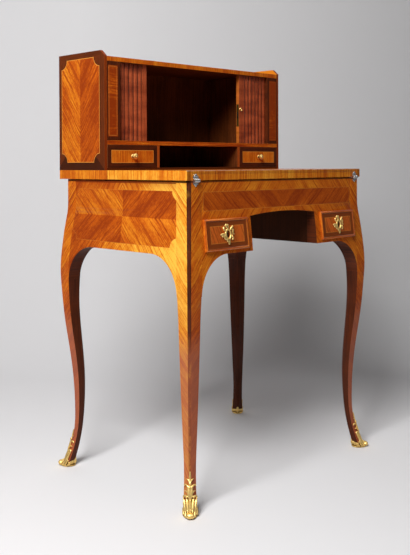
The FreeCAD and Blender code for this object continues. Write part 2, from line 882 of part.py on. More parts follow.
os.makedirs("parts", exist_ok=True)
for node, shape in build().items():
    shape.exportStep(f"parts/{node}.step")
    print(node, len(shape.Solids), round(shape.Volume), shape.isValid())
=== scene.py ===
"""Looks of a bonheur du jour: veneers, tambour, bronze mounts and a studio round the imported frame."""
import json
from math import cos, pi, radians, sin

import bmesh
import bpy
from mathutils import Matrix, Vector
from mathutils.bvhtree import BVHTree

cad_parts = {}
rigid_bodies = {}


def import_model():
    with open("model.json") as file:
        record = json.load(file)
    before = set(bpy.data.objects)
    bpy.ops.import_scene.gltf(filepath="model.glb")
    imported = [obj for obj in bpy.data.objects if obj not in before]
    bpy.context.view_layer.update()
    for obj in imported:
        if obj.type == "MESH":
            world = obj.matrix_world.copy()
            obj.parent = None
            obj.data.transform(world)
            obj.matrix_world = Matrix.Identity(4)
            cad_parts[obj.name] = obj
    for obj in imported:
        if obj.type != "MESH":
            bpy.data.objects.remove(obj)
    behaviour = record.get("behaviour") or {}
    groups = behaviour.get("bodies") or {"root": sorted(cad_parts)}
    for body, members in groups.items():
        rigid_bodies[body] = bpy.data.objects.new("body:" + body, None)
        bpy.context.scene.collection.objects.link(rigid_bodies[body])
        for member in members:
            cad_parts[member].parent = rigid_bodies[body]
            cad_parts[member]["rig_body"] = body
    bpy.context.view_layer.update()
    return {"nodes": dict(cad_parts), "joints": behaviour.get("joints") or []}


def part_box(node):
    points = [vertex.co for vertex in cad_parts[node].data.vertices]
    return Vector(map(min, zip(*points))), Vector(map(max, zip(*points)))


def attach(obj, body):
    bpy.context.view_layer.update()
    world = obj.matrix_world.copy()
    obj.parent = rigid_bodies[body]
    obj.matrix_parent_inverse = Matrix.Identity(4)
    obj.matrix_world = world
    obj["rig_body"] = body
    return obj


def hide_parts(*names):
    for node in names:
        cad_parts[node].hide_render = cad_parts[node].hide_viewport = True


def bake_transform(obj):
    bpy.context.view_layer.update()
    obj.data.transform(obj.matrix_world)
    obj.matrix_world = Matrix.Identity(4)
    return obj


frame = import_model()

bl_info = {
    "name": "Bonheur du jour",
    "version": (1, 0, 0),
    "blender": (4, 5, 0),
    "location": "3D View > Sidebar > Desk",
    "description": "Finishes a small French writing desk and sets it in a studio",
    "category": "Object",
}

MM = 0.001
CORNERS = {
    "front_left": (-1, -1),
    "front_right": (1, -1),
    "rear_left": (-1, 1),
    "rear_right": (1, 1),
}
SIDES = {"left": -1, "right": 1}
SMOOTH_ANGLE = radians(35)
ARRIS_ANGLE = radians(40)

# Slats of the tambour in millimetres
SLAT_PITCH = 14.0
SLAT_GAP = 0.3
REED_DEPTH = 2.4
REED_QUIRK = 0.5


def span(node):
    """Lowest and highest corner of a node in millimetres."""
    low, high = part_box(node)
    return low / MM, high / MM


def linear(red, green, blue):
    """A display colour from 0 to 255 as the linear colour that shaders use."""
    shares = (red / 255, green / 255, blue / 255)
    return tuple(c / 12.92 if c <= 0.04045 else ((c + 0.055) / 1.055) ** 2.4 for c in shares) + (1.0,)


def colour_setting(name, description, red, green, blue):
    return bpy.props.FloatVectorProperty(
        name=name, description=description, subtype="COLOR", size=4, min=0, max=1,
        default=linear(red, green, blue),
    )


def number_setting(name, description, default, **kind):
    return bpy.props.FloatProperty(name=name, description=description, default=default, **kind)


def length_setting(name, description, millimetres):
    return number_setting(name, description, millimetres * MM, subtype="DISTANCE", unit="LENGTH", min=0)


class DeskColours(bpy.types.PropertyGroup):
    """Colours of the woods, the leather and the metals."""

    # On the sides of the front legs this gold is partly a painted highlight
    tulip_gold: colour_setting("Tulipwood gold", "Golden sheets of the legs", 242, 180, 66)
    tulip_pale: colour_setting("Tulipwood pale", "Palest streaks of the tulipwood", 214, 128, 28)
    tulip_mid: colour_setting("Tulipwood", "Body of the tulipwood", 184, 84, 14)
    tulip_dark: colour_setting("Tulipwood dark", "Darkest streaks of the tulipwood", 140, 52, 8)
    leg_lower: colour_setting("Lower leg", "Redder sheet of the lower legs", 168, 100, 76)
    amaranth: colour_setting("Amaranth", "Dark banding round the panels", 90, 38, 13)
    amaranth_dark: colour_setting("Amaranth dark", "Streaks of the dark banding", 52, 21, 8)
    boxwood: colour_setting("Boxwood", "Thin pale stringing", 214, 140, 58)
    tambour: colour_setting("Tambour", "Body of the shutter slats", 176, 84, 46)
    tambour_dark: colour_setting("Tambour dark", "Streaks of the shutter slats", 116, 46, 24)
    drawer: colour_setting("Drawer panel", "Panels of the lower drawers", 186, 88, 27)
    # Pale colour of the painted highlight along the leaf's front arris
    arris_glint: colour_setting("Worn edge", "Bare wood where the leaf's front edge is chafed", 206, 180, 156)
    stain: colour_setting("Inside stain", "Stained wood inside the cabinet and the kneehole", 104, 50, 18)
    oak: colour_setting("Oak", "Plain oak of the drawers' cases and boxes", 156, 104, 58)
    leather: colour_setting("Leather", "Leather of the writing surface", 92, 44, 26)
    gilt: colour_setting("Gilt bronze", "Gilding of the mounts", 238, 202, 124)
    # Dark of the tarnish and of the painted shade in the mounts' hollows
    gilt_hollow: colour_setting("Gilt hollows", "Tarnish in the hollows of the mounts", 64, 38, 10)
    brass: colour_setting("Lock brass", "Dull brass of the tambour lock's plates", 138, 112, 62)
    steel: colour_setting("Hinge steel", "Worn steel of the hinges, locks and bolts", 206, 206, 206)


class InlaySizes(bpy.types.PropertyGroup):
    """Sizes of the inlay, the mouldings and the eased edges."""

    string: length_setting("Stringing", "Width of the pale stringing", 1.3)
    hollow: length_setting("Hollow corner", "Radius of the hollowed panel corners", 21)
    side_panel_height: length_setting("Side panel height", "Height of the quartered panel on each side", 120)
    side_panel_margin: length_setting("Side panel margin", "Side panel's distance from the table's ends", 29)
    front_panel_height: length_setting("Front panel height", "Height of the long panel on the front", 41)
    front_panel_margin: length_setting("Front panel margin", "Front panel's distance from the table's ends", 56)
    small_drawer_band: length_setting("Small drawer band", "Dark frame of the small drawers", 11.5)
    drawer_band: length_setting("Drawer band", "Dark band inside the lower drawers' moulding", 9.5)
    moulding: length_setting("Drawer moulding", "Width of the lower drawers' moulding", 6)
    top_band: length_setting("Top band", "Crossbanding round the table top", 42)
    eased: length_setting("Eased edge", "Rounding of the wooden edges", 0.6)


class StudioSettings(bpy.types.PropertyGroup):
    """Camera and light of the studio."""

    place: bpy.props.FloatVectorProperty(
        name="Camera place", description="Where the camera stands", subtype="TRANSLATION", unit="LENGTH",
        default=(-1.5359, -1.4454, 0.7330),
    )
    turn: number_setting("Turn", "Heading of the camera from straight back", radians(44.21), subtype="ANGLE")
    tilt: number_setting("Tilt", "How far the camera looks down", radians(0.91), subtype="ANGLE")
    roll: number_setting("Roll", "Lean of the camera", radians(-0.24), subtype="ANGLE")
    focal: number_setting("Focal length", "Lens of the camera", 54.54, unit="CAMERA")
    shift: bpy.props.FloatVectorProperty(
        name="Shift", description="Shift of the lens, in shares of the picture's height", size=2,
        default=(0.0461, -0.1799),
    )
    key: number_setting("Key light", "Power of the soft light on the left", 85)
    fill: number_setting("Fill light", "Power of the soft light in front", 1.5)
    room: number_setting("Room light", "Strength of the light from all round", 0.03)
    shown: number_setting("Room shown", "Strength of the room as the camera sees it", 0.42)
    mirrored: number_setting("Room mirrored", "How many times brighter metal mirrors the room", 4)
    floor: colour_setting("Floor", "Pale paper of the floor and backdrop", 236, 235, 236)


class Wire:
    """One shader socket. Sums on wires add Math nodes, and node() adds any other node."""

    def __init__(self, tree, socket=None):
        self.tree = tree
        self.socket = socket

    def node(self, kind, settings=None, inputs=None, output=0):
        """Adds a node with its settings, then its sockets' values or links, and gives one of its outputs."""
        made = self.tree.nodes.new(kind)
        for key, value in (settings or {}).items():
            if key == "stops":
                set_stops(made.color_ramp, value)
            else:
                setattr(made, key, value)
        for key, value in (inputs or {}).items():
            if isinstance(value, Wire):
                self.tree.links.new(value.socket, made.inputs[key])
            else:
                made.inputs[key].default_value = value
        return Wire(self.tree, made.outputs[output] if made.outputs else None)

    def out(self, name):
        """Another output of the same node."""
        return Wire(self.tree, self.socket.node.outputs[name])

    def maths(self, operation, *terms):
        return self.node("ShaderNodeMath", {"operation": operation}, dict(enumerate(terms)))

    def __add__(self, other):
        return self.maths("ADD", self, other)

    def __sub__(self, other):
        return self.maths("SUBTRACT", self, other)

    def __rsub__(self, other):
        return self.maths("SUBTRACT", other, self)

    def __mul__(self, other):
        return self.maths("MULTIPLY", self, other)

    def __truediv__(self, other):
        return self.maths("DIVIDE", self, other)

    def __lt__(self, other):
        return self.maths("LESS_THAN", self, other)

    def __gt__(self, other):
        return self.maths("GREATER_THAN", self, other)

    def __abs__(self):
        return self.maths("ABSOLUTE", self)

    __radd__ = __add__
    __rmul__ = __mul__

    def least(self, other):
        return self.maths("MINIMUM", self, other)

    def most(self, other):
        return self.maths("MAXIMUM", self, other)

    def held(self, low=0.0, high=1.0):
        """The value, kept between two limits."""
        return self.most(low).least(high)

    def rise(self, start, length):
        """Share that grows from 0 at a start to 1 a length further on."""
        return ((self - start) / length).held()

    def far(self, other):
        """Length of the two wires as the sides of a right angle."""
        return self.maths("SQRT", self * self + other * other)

    def mix(self, factor, first, second):
        """The first colour, or the second where the factor is 1."""
        return self.node("ShaderNodeMix", {"data_type": "RGBA"}, {0: factor, 6: first, 7: second}, 2)

    def join(self, x, y, z=0.0):
        return self.node("ShaderNodeCombineXYZ", {}, {0: x, 1: y, 2: z})

    def noise(self, x, y, z=0.0, detail=2.0, rough=0.5):
        inputs = {"Vector": self.join(x, y, z), "Scale": 1.0, "Detail": detail, "Roughness": rough}
        return self.node("ShaderNodeTexNoise", {}, inputs)

    def clouds(self, place, scale, detail=2.0):
        """Noise of one scale in all directions."""
        return self.noise(*(axis * scale for axis in place), detail)

    def chance(self, value):
        """A random share for each whole number below a value."""
        whole = self.maths("FLOOR", value)
        return self.node("ShaderNodeTexWhiteNoise", {"noise_dimensions": "1D"}, {"W": whole})

    def ramp(self, value, stops):
        return self.node("ShaderNodeValToRGB", {"stops": stops}, {"Fac": value})


def set_stops(ramp, stops):
    while len(ramp.elements) < len(stops):
        ramp.elements.new(1.0)
    for element, (position, colour) in zip(ramp.elements, stops):
        element.position = position
        element.color = colour


def surface(wire):
    """The place on the piece in millimetres and the way its face looks, each as three wires."""
    point = wire.node("ShaderNodeTexCoord", output="Object")
    millimetres = wire.node("ShaderNodeVectorMath", {"operation": "SCALE"}, {0: point, "Scale": 1 / MM})
    place = wire.node("ShaderNodeSeparateXYZ", {}, {0: millimetres})
    facing = wire.node("ShaderNodeSeparateXYZ", {}, {0: point.out("Normal")})
    return tuple((three, three.out("Y"), three.out("Z")) for three in (place, facing))


def close_finish(wire, colour, rough, height, bump=0.15, clear=None, **sockets):
    """Ends a material. Of the other sockets only the coat's weight may vary over the surface."""
    relief = wire.node("ShaderNodeBump", {}, {"Height": height, "Strength": bump, "Distance": 0.3 * MM})
    inputs = {"Base Color": colour, "Roughness": rough, "Normal": relief}
    inputs.update({key.replace("_", " "): value for key, value in sockets.items()})
    shader = wire.node("ShaderNodeBsdfPrincipled", {}, inputs)
    if clear is not None:
        bare = wire.node("ShaderNodeBsdfTransparent")
        shader = wire.node("ShaderNodeMixShader", {}, {0: clear, 1: shader, 2: bare})
    wire.node("ShaderNodeOutputMaterial", {}, {"Surface": shader})


# Sheen of the polished woods and the metals, and the middle of a veneer's figure
POLISH = {"Coat_Weight": 0.06, "Coat_Roughness": 0.18, "Specular_IOR_Level": 0.1}
GLOSS = {"Coat_Roughness": 0.16, "Specular_IOR_Level": 0.12}
FIGURE_MEAN = 0.47
STEEL_ROUGH = 0.16
BRASS_ROUGH = 0.35


def streaks(wire, across, along):
    """Figure of a veneer from the places across and along its grain: clouds less dark veins, and fine pores."""
    wander = wire.noise(across * 0.013, along * 0.011, 3.0)
    line = across + wander * 14
    cloud = wire.noise(line * 0.03, along * 0.012, 1.0, 3.0, 0.55)
    ribbon = wire.noise(line * 0.13, along * 0.008, 11.0)
    vein = wire.noise(line * 0.42, along * 0.005, 7.0, 1.0)
    fine = wire.noise(line * 1.15, along * 0.02, 5.0, 2.0, 0.6)
    fleck = wire.noise(line * 0.35, along * 0.12, 13.0, 3.0, 0.6)
    veins = ((vein - 0.54) * 2.2).held(high=0.2)
    return cloud * 0.5 + ribbon * 0.34 + fine * 0.34 + fleck * 0.36 - veins - 0.27, fine


def tulipwood(wire, colours, across, along, tone=0.0, strength=1.0):
    """Colour and pores of tulipwood; a higher tone is a paler sheet, and a low strength a calm one."""
    figure, fine = streaks(wire, across, along)
    figure = (figure - FIGURE_MEAN) * strength + FIGURE_MEAN
    stops = (
        (0.27, colours.tulip_dark),
        (0.43, colours.tulip_mid),
        (0.59, colours.tulip_pale),
        (0.76, colours.tulip_gold),
    )
    return wire.ramp(figure + tone, stops), fine


def plain_wood(wire, body, dark_at, across, along):
    """Colour and pores of plain boards, whose darkest streaks have half the light of their body."""
    figure, fine = streaks(wire, across, along)
    return wire.ramp(figure, ((dark_at, darker(body, 0.5)), (0.6, body))), fine


def oak_wood(wire, colours, across, along):
    return plain_wood(wire, colours.oak, 0.32, across, along)[0]


def stained_wood(wire, colours, across, along):
    return plain_wood(wire, colours.stain, 0.33, across, along)


def amaranth(wire, colours, across, along):
    """Colour of the dark banding."""
    figure, _ = streaks(wire, across, along)
    return wire.ramp(figure, ((0.28, colours.amaranth_dark), (0.66, colours.amaranth)))


def panel_edge(u, v, half_u, half_v, hollow=0.0):
    """Distance inside a panel's outline, whose corners are hollowed by a quarter round."""
    in_u = half_u - abs(u)
    in_v = half_v - abs(v)
    edge = in_u.least(in_v)
    if hollow:
        edge = edge.least(in_u.far(in_v) - hollow)
    return edge


def line_on(edge, width):
    """Mask of a line of a width along an outline, just inside it."""
    return (edge > 0) * (edge < width)


def strung(wire, colours, colour, edge, width, share=1.0):
    """A colour with pale stringing of a width laid along an outline."""
    return wire.mix(line_on(edge, width) * share, colour, colours.boxwood)


def mitred_band(wire, colours, u, v, half, run, rise):
    """Dark banding that is mitred at the corners of a panel, and a mask of its upright lengths."""
    upright = (abs(u) - half[0]) > (abs(v) - half[1])
    return amaranth(wire, colours, either(upright, rise, run), either(upright, run, rise)), upright


def looks_out(way, place):
    """Mask of the faces that look away from the desk's middle along an axis."""
    return (abs(way) > 0.5) * ((way * place) > 0)


def either(mask, first, second):
    """The first value, or the second where the mask is 1."""
    return first + (second - first) * mask


def close_polished(wire, colour, fine, along, **changes):
    """Ends a veneer under old french polish."""
    rough = 0.34 + fine * 0.12 + wire.noise(along * 0.02, fine, 9.0) * 0.06
    close_finish(wire, colour, rough, fine, **{**POLISH, **changes})


def make_side_veneer(wire, colours, sizes):
    """Quartered panel with hollow corners in a paler diagonal frame, on both sides of the table."""
    (x, y, z), (nx, _, _) = surface(wire)
    low, high = span("left_apron")
    past_board, under_top, dark_line, shade_reach = 24, 20, 5, 26
    middle = (low.y + high.y) / 2
    tall = sizes.side_panel_height / MM / 2
    long = (high.y - low.y) / 2 + past_board - sizes.side_panel_margin / MM
    u = y - middle
    v = z - (high.z - under_top - tall)
    edge = panel_edge(u, v, long, tall, sizes.hollow / MM)
    inside = edge > 0
    cross = (abs(u) - abs(v)) * 0.71
    out = (abs(u) + abs(v)) * 0.71
    frame_cross, frame_out = leg_grain(span("leg_rear_left")[1].y - middle - abs(u), z)
    dark_quarter = (u * v) < 0
    # The frame is a paler sheet, painted darker towards the rear as shade
    frame_tone_and_shade = 0.05 - u * 0.0012
    tone = either(inside, frame_tone_and_shade, -0.01 - dark_quarter * 0.13)
    across = either(inside, frame_cross, cross)
    along = either(inside, frame_out, out)
    colour, fine = tulipwood(wire, colours, across, along, tone, strength=0.95)
    colour = strung(wire, colours, colour, edge, sizes.string / MM * 0.6, 0.45)
    # Painted shadow: a dark line along the top edge, where the table top's overhang shades the apron
    colour = wire.mix((z > high.z - dark_line) * 0.75, colour, colours.amaranth_dark)
    # Painted shade: the strip under the table top is painted darker towards its top edge
    shade_under_top = ((z - high.z + shade_reach) / shade_reach).most(0.0) * 0.6
    colour = wire.mix(shade_under_top, colour, colours.tulip_dark)
    colour = wire.mix(looks_out(nx, x), amaranth(wire, colours, z, y), colour)
    close_polished(wire, colour, fine, y)


def make_front_veneer(wire, colours, sizes):
    """Long chevron panel with stringing above the drawers, in a diagonal frame."""
    (x, y, z), (_, ny, _) = surface(wire)
    top = span("front_apron")[1].z
    under_top, sheet, dark_line = 22, 88, 2.5
    tall = sizes.front_panel_height / MM / 2
    wide = span("leg_front_right")[1].x - sizes.front_panel_margin / MM
    v = z - (top - under_top - tall)
    edge = panel_edge(x, v, wide, tall)
    inside = edge > 0
    cross = abs(x) * 0.66 - v * 0.75
    out = abs(x) * 0.75 + v * 0.66
    sheets = wire.chance(x / sheet + 40.3) * 0.06
    tone = either(inside, -0.01, sheets - 0.15)
    across = either(inside, out, cross)
    along = either(inside, cross, out)
    colour, fine = tulipwood(wire, colours, across, along, tone, strength=0.75)
    colour = strung(wire, colours, colour, edge, sizes.string / MM * 0.7, 0.5)
    # Painted shadow: a dark line along the top edge, under the overhang of the table top
    colour = wire.mix((z > top - dark_line) * 0.7, colour, colours.amaranth_dark)
    colour = wire.mix(looks_out(ny, y), amaranth(wire, colours, z, x), colour)
    close_polished(wire, colour, fine, x)


def leg_grain(inward, height):
    """Places across and along the leg's slanting grain, from the distance in from its arris."""
    return height * 0.64 - inward * 0.77, height * 0.77 + inward * 0.64


def make_leg_veneer(wire, colours):
    """Chevron veneer that points down at the outer arris, a dark arris and a redder lower sheet."""
    (x, y, z), (nx, ny, nz) = surface(wire)
    low, high = span("leg_front_left")
    rear = span("leg_rear_left")[1].y
    middle = (low.y + rear) / 2
    from_x = abs(x) * -1 - low.x
    from_y = (rear - low.y) / 2 - abs(y - middle)
    on_side = abs(nx) > abs(ny)
    inward = either(on_side, from_x, from_y)
    cross, out = leg_grain(inward, z)
    joint, redder_from, shaded_from, dark_line = 358, 385, 560, 3
    lower = z < joint
    front = y < middle
    shade = z.rise(shaded_from, -200) * either(on_side, 0.07, 0.05)
    redder = z.rise(redder_from, -50)
    # The front legs' sides are paler and golder, partly a paler sheet and partly a painted highlight
    tone = front * on_side * 0.22 - 0.02 - redder * 0.05 - shade
    colour, fine = tulipwood(wire, colours, cross + lower * 53, out, tone, strength=0.8)
    colour = wire.mix(redder * 0.55, colour, colours.leg_lower)
    out_x, out_y = nx * x, ny * (y - middle)
    outward = either(on_side, out_y, out_x) > 0
    plain = amaranth(wire, colours, inward * 2 + 70, z)
    colour = wire.mix(outward, plain, colour)
    slanting = (abs(abs(nx) - abs(ny)) < 0.42) * (abs(nz) < 0.8)
    on_arris = slanting * (out_x > 0) * (out_y > 0)
    kept = (wire.noise(x * 0.02, y * 0.02, z * 0.035, 3.0) + 0.58).least(1.0)
    kept = kept * (1 - redder * 0.55)
    colour = wire.mix(on_arris * kept, colour, amaranth(wire, colours, inward, z))
    # Painted shadow: a dark line at the leg's top, under the overhang of the table top
    colour = wire.mix((z > high.z - dark_line) * 0.8, colour, colours.amaranth_dark)
    close_polished(wire, colour, fine, z)


def darker(colour, share):
    """A colour brought down to a share of its light."""
    return tuple(channel * share for channel in colour[:3]) + (1.0,)


def make_oak(wire, colours):
    """Oak boards of the drawers, browned with age."""
    (x, y, z), (_, _, nz) = surface(wire)
    flat = abs(nz) > 0.5
    across = either(flat, z, x)
    along = y + x * 0.15
    colour = oak_wood(wire, colours, across, along)
    pores = wire.noise(across * 1.6, along * 0.04, z * 0.02)
    close_finish(wire, colour, 0.62 + pores * 0.2, pores, bump=0.3, Specular_IOR_Level=0.12)


def make_stain(wire, colours):
    """Dark stained wood inside the cabinet and the kneehole, with painted shade in the kneehole and along the
    cabinet's foot.
    """
    (x, y, z), (_, ny, nz) = surface(wire)
    flat = abs(nz) > 0.5
    across = either(flat, x + y, y)
    along = either(flat, z, x)
    colour, fine = stained_wood(wire, colours, across, along)
    edge_depth, shade_reach = 2, 5
    front_edge = (ny < -0.5) * (y < span("cabinet_dividers")[0].y + edge_depth)
    colour = wire.mix(front_edge * 0.6, colour, colours.drawer)
    # Painted shade: everything lower than a little above the fixed top is painted nearly black
    shaded_low = z < span("fixed_top")[1].z + shade_reach
    colour = wire.mix(shaded_low * 0.8, colour, darker(colours.stain, 0.1))
    close_finish(wire, colour, 0.5 + fine * 0.2, fine, bump=0.2, Specular_IOR_Level=0.08)


def crossband(wire, colours, along, depth, sheet, tone=0.0):
    """Short-grained banding laid in sheets along an edge."""
    tones = (wire.chance(along / sheet + 31.7) - 0.5) * 0.10
    return tulipwood(wire, colours, along * 1.2, depth, tones + tone, strength=0.7)


def make_top_veneer(wire, colours, sizes):
    """Table top: crossbanded edges and border round a quartered field."""
    (x, y, z), (nx, ny, nz) = surface(wire)
    low, high = span("writing_leaf")
    rear = span("fixed_top")[1].y
    seam = span("fixed_top")[0].y
    band, rear_band, dark_line, corner_width = sizes.top_band / MM, 12, 2.4, 10
    seam_line, glint_down, glint_back = 0.8, 1.3, 1.5
    on_leaf = y < seam - 0.1
    middle = either(on_leaf, (seam + rear) / 2, (low.y + seam) / 2)
    deep = either(on_leaf, (rear - seam) / 2 - rear_band, (seam - low.y) / 2 - band)
    u, v = abs(x), abs(y - middle)
    edge = (high.x - band - u).least(deep - v)
    inside = edge > 0
    cross = (u - v) * 0.71
    out = (u + v) * 0.71
    field, field_fine = tulipwood(wire, colours, cross, out, -0.02)
    end_band = (high.x - u) < (deep + band - v)
    along = either(end_band, x, y)
    border, _ = crossband(wire, colours, along, either(end_band, y, x), sheet=96)
    top = wire.mix(inside, border, field)
    top = wire.mix(line_on(edge + dark_line, dark_line), top, colours.amaranth)
    top = strung(wire, colours, top, edge, sizes.string / MM)
    on_end = abs(nx) > abs(ny)
    run = either(on_end, x, y + 300)
    paler = on_leaf * on_end * 0.12 + (1 - on_end) * 0.05 - 0.03
    rim, rim_fine = crossband(wire, colours, run, z, sheet=74, tone=paler + 0.06)
    rim = wire.mix((abs(y - seam) < seam_line) * 0.8, rim, colours.amaranth_dark)
    corner = on_leaf * (1 - on_end) * ((high.x - u) < corner_width)
    rim = wire.mix(corner * 0.55, rim, colours.amaranth)
    level = abs(nz) > 0.6
    colour = wire.mix(level, rim, top)
    fine = either(level, rim_fine, field_fine)
    # Painted highlight: a pale broken line along the leaf's front top arris, standing for its reflection
    glint_patches = wire.noise(x * 0.06, z * 0.3, 4.0, 3.0)
    front_arris = (z > high.z - glint_down) * (y < low.y + glint_back)
    arris_glint = front_arris * ((glint_patches - 0.3) * 3).held(high=0.8)
    colour = wire.mix(arris_glint, colour, colours.arris_glint)
    coat = 0.06 + (nz > 0.25) * 0.7
    close_polished(wire, colour, fine, x, Coat_Weight=coat)


def make_cabinet_side_veneer(wire, colours, sizes):
    """Bookmatched panel with hollow corners and stringing in a dark band."""
    (x, y, z), (nx, _, _) = surface(wire)
    low, high = span("left_cabinet_side")
    front, rear, foot, head = low.y + 18, high.y - 11, low.z + 18, high.z - 14
    half = (rear - front) / 2, (head - foot) / 2
    u = y - (front + rear) / 2
    v = z - (foot + head) / 2
    edge = panel_edge(u, v, *half, sizes.hollow / MM)
    inside = edge > 0
    cross = v * 0.60 - abs(u) * 0.80
    out = v * 0.80 + abs(u) * 0.60
    rear_half = u > 0
    field, fine = tulipwood(wire, colours, cross, out, rear_half * 0.13 - 0.16)
    band, upright = mitred_band(wire, colours, u, v, half, y, z)
    band = wire.mix(0.08, band, colours.drawer)
    band = wire.mix((1 - upright) * (v < 0) * 0.75, band, darker(colours.amaranth_dark, 0.8))
    colour = wire.mix(inside, band, field)
    colour = strung(wire, colours, colour, edge, sizes.string / MM)
    edges, _ = tulipwood(wire, colours, y + x, z, -0.2)
    colour = wire.mix(looks_out(nx, x), wire.mix(0.5, edges, colours.amaranth), colour)
    ear = z > span("cabinet_top")[1].z - 1
    inner = (abs(nx) > 0.5) * ((nx * x) < 0)
    colour = wire.mix(inner, colour, colours.stain)
    colour = wire.mix(ear * inner, colour, colours.tulip_pale)
    close_polished(wire, colour, fine, z)


def make_stile_veneer(wire, colours, sizes):
    """Red-brown panel with stringing in a dark frame, on the cabinet's front stiles."""
    (x, _, z), _ = surface(wire)
    low, high = span("cabinet_stiles")
    inner, outer, foot, head = high.x - 32, high.x - 3, low.z + 9, high.z - 9
    string_inset = 2
    u = abs(x) - (inner + outer) / 2
    v = z - (foot + head) / 2
    edge = panel_edge(u, v, (outer - inner) / 2, (head - foot) / 2)
    field, fine = tulipwood(wire, colours, z * 0.8, x, -0.17 - (x > 0) * 0.1)
    colour = wire.mix(edge > 0, amaranth(wire, colours, x, z), field)
    shown = 0.5 - (x > 0) * 0.35
    colour = strung(wire, colours, colour, edge - string_inset, sizes.string / MM, shown)
    close_polished(wire, colour, fine, z)


def make_board_veneer(wire, colours):
    """Cabinet top and shelf: banded front edge, plain veneer above, stain below and inside."""
    (x, y, z), (_, ny, nz) = surface(wire)
    edge, fine = crossband(wire, colours, x, z, sheet=66)
    plain, _ = tulipwood(wire, colours, z * 2 + y, x, -0.07)
    upper = z > span("cabinet_shelf")[1].z + 5
    front = wire.mix(upper, plain, edge)
    over = upper * (nz > 0.5)
    top, _ = tulipwood(wire, colours, y, x, -0.06)
    inside, _ = stained_wood(wire, colours, y, x)
    colour = wire.mix(ny < -0.5, inside, front)
    colour = wire.mix(over, colour, top)
    close_polished(wire, colour, fine, x)


def make_small_drawer_veneer(wire, colours, sizes):
    """Striped panel with stringing in a wide dark frame."""
    (x, _, z), (_, ny, _) = surface(wire)
    low, high = span("right_small_drawer_front")
    half = (high.x - low.x) / 2, (high.z - low.z) / 2
    u = abs(x) - (low.x + high.x) / 2
    v = z - (low.z + high.z) / 2
    edge = panel_edge(u, v, *half) - sizes.small_drawer_band / MM
    field, fine = crossband(wire, colours, x, z, sheet=47, tone=0.03)
    band, _ = mitred_band(wire, colours, u, v, half, x, z)
    colour = wire.mix(edge > 0, band, field)
    colour = strung(wire, colours, colour, edge, sizes.string / MM)
    colour = wire.mix(ny < -0.5, oak_wood(wire, colours, z, x), colour)
    close_polished(wire, colour, fine, x)


def make_drawer_veneer(wire, colours, sizes):
    """Lower drawers: warm moulding, dark band, stringing and a red-brown panel."""
    (x, _, z), (_, ny, _) = surface(wire)
    low, high = span("right_drawer_front")
    moulding = sizes.moulding / MM
    band = moulding + sizes.drawer_band / MM
    quirk_width, keyhole_wide, keyhole_tall = 1.2, 4.6, 8.6
    half = (high.x - low.x) / 2, (high.z - low.z) / 2
    u = abs(x) - (low.x + high.x) / 2
    v = z - (low.z + high.z) / 2
    edge = panel_edge(u, v, *half)
    figure, fine = streaks(wire, x * 0.8 + z * 0.3, z - x * 0.3)
    stops = ((0.28, darker(colours.drawer, 0.55)), (0.56, darker(colours.drawer, 1.14)))
    panel = wire.ramp(figure, stops)
    lip, _ = tulipwood(wire, colours, edge * 3, x + z, -0.04)
    dark_band, _ = mitred_band(wire, colours, u, v, half, x, z)
    dark_band = wire.mix(0.3, dark_band, colours.drawer)
    colour = wire.mix(edge > moulding, lip, dark_band)
    colour = wire.mix(edge > band, colour, panel)
    colour = strung(wire, colours, colour, edge - band, sizes.string / MM * 0.8, 0.5)
    # Painted shade in the crease where the moulding meets the dark band
    quirk = line_on(edge - moulding + quirk_width, quirk_width)
    colour = wire.mix(quirk * 0.6, colour, colours.amaranth_dark)
    # Painted shade of the keyhole's opening: a near-black oval where no hole is cut
    keyhole = (u / keyhole_wide).far(v / keyhole_tall) < 1
    colour = wire.mix(keyhole, colour, darker(colours.amaranth_dark, 0.3))
    colour = wire.mix(ny > 0.5, colour, oak_wood(wire, colours, z, x))
    coat = 0.1 + (edge < moulding) * 0.9
    close_polished(wire, colour, fine, x, Coat_Weight=coat, **GLOSS)


def make_tambour_wood(wire, colours):
    """Reeded slats with figure that runs on from slat to slat."""
    (x, y, z), (nx, _, _) = surface(wire)
    figure, fine = streaks(wire, x, z)
    patch = wire.noise(x * 0.012, z * 0.05, 2.0, 3.0)
    stops = ((0.36, colours.tambour_dark), (0.58, colours.tambour))
    colour = wire.ramp(figure * 0.5 + patch * 0.5, stops)
    depth = y - span("right_tambour_slats")[0].y
    flank = abs(nx) > 0.97
    groove_shade = depth.rise(0.7, 2.0) * (1 - flank)
    meeting = flank * ((nx * x) < 0)
    colour = wire.mix(meeting * 0.35, colour, colours.tulip_pale)
    # Painted shade in the grooves between the reeds
    colour = wire.mix(groove_shade * 0.85, colour, darker(colours.tambour_dark, 0.2))
    coat = 0.4 - groove_shade * 0.35
    close_finish(wire, colour, 0.3 + fine * 0.12, fine, Coat_Weight=coat, **GLOSS)


def make_leather(wire, colours):
    """Grained leather with a gilt tooled line inside its edge."""
    (x, y, z), _ = surface(wire)
    low, high = span("bed_leather")
    edge = panel_edge(x, y - (low.y + high.y) / 2, high.x, (high.y - low.y) / 2)
    place = wire.join(x, y, z)
    grain = wire.node("ShaderNodeTexVoronoi", {"feature": "F1"}, {"Vector": place, "Scale": 0.9})
    cloud = wire.noise(x * 0.02, y * 0.02, detail=3.0)
    stops = ((0.3, darker(colours.leather, 0.5)), (0.7, colours.leather))
    colour = wire.ramp(cloud * 0.8 + grain * 0.2, stops)
    rubbed = wire.noise(x * 0.5, y * 0.5) > 0.5
    line_inset, line_width, roll_inset, roll_width = 10, 1.2, 15, 3.0
    roll = line_on(edge - roll_inset, roll_width) * rubbed
    tooled = line_on(edge - line_inset, line_width).most(roll)
    colour = wire.mix(tooled, colour, colours.gilt)
    close_finish(wire, colour, 0.55 - tooled * 0.2, grain - tooled * 0.3, bump=0.4, Specular_IOR_Level=0.2)


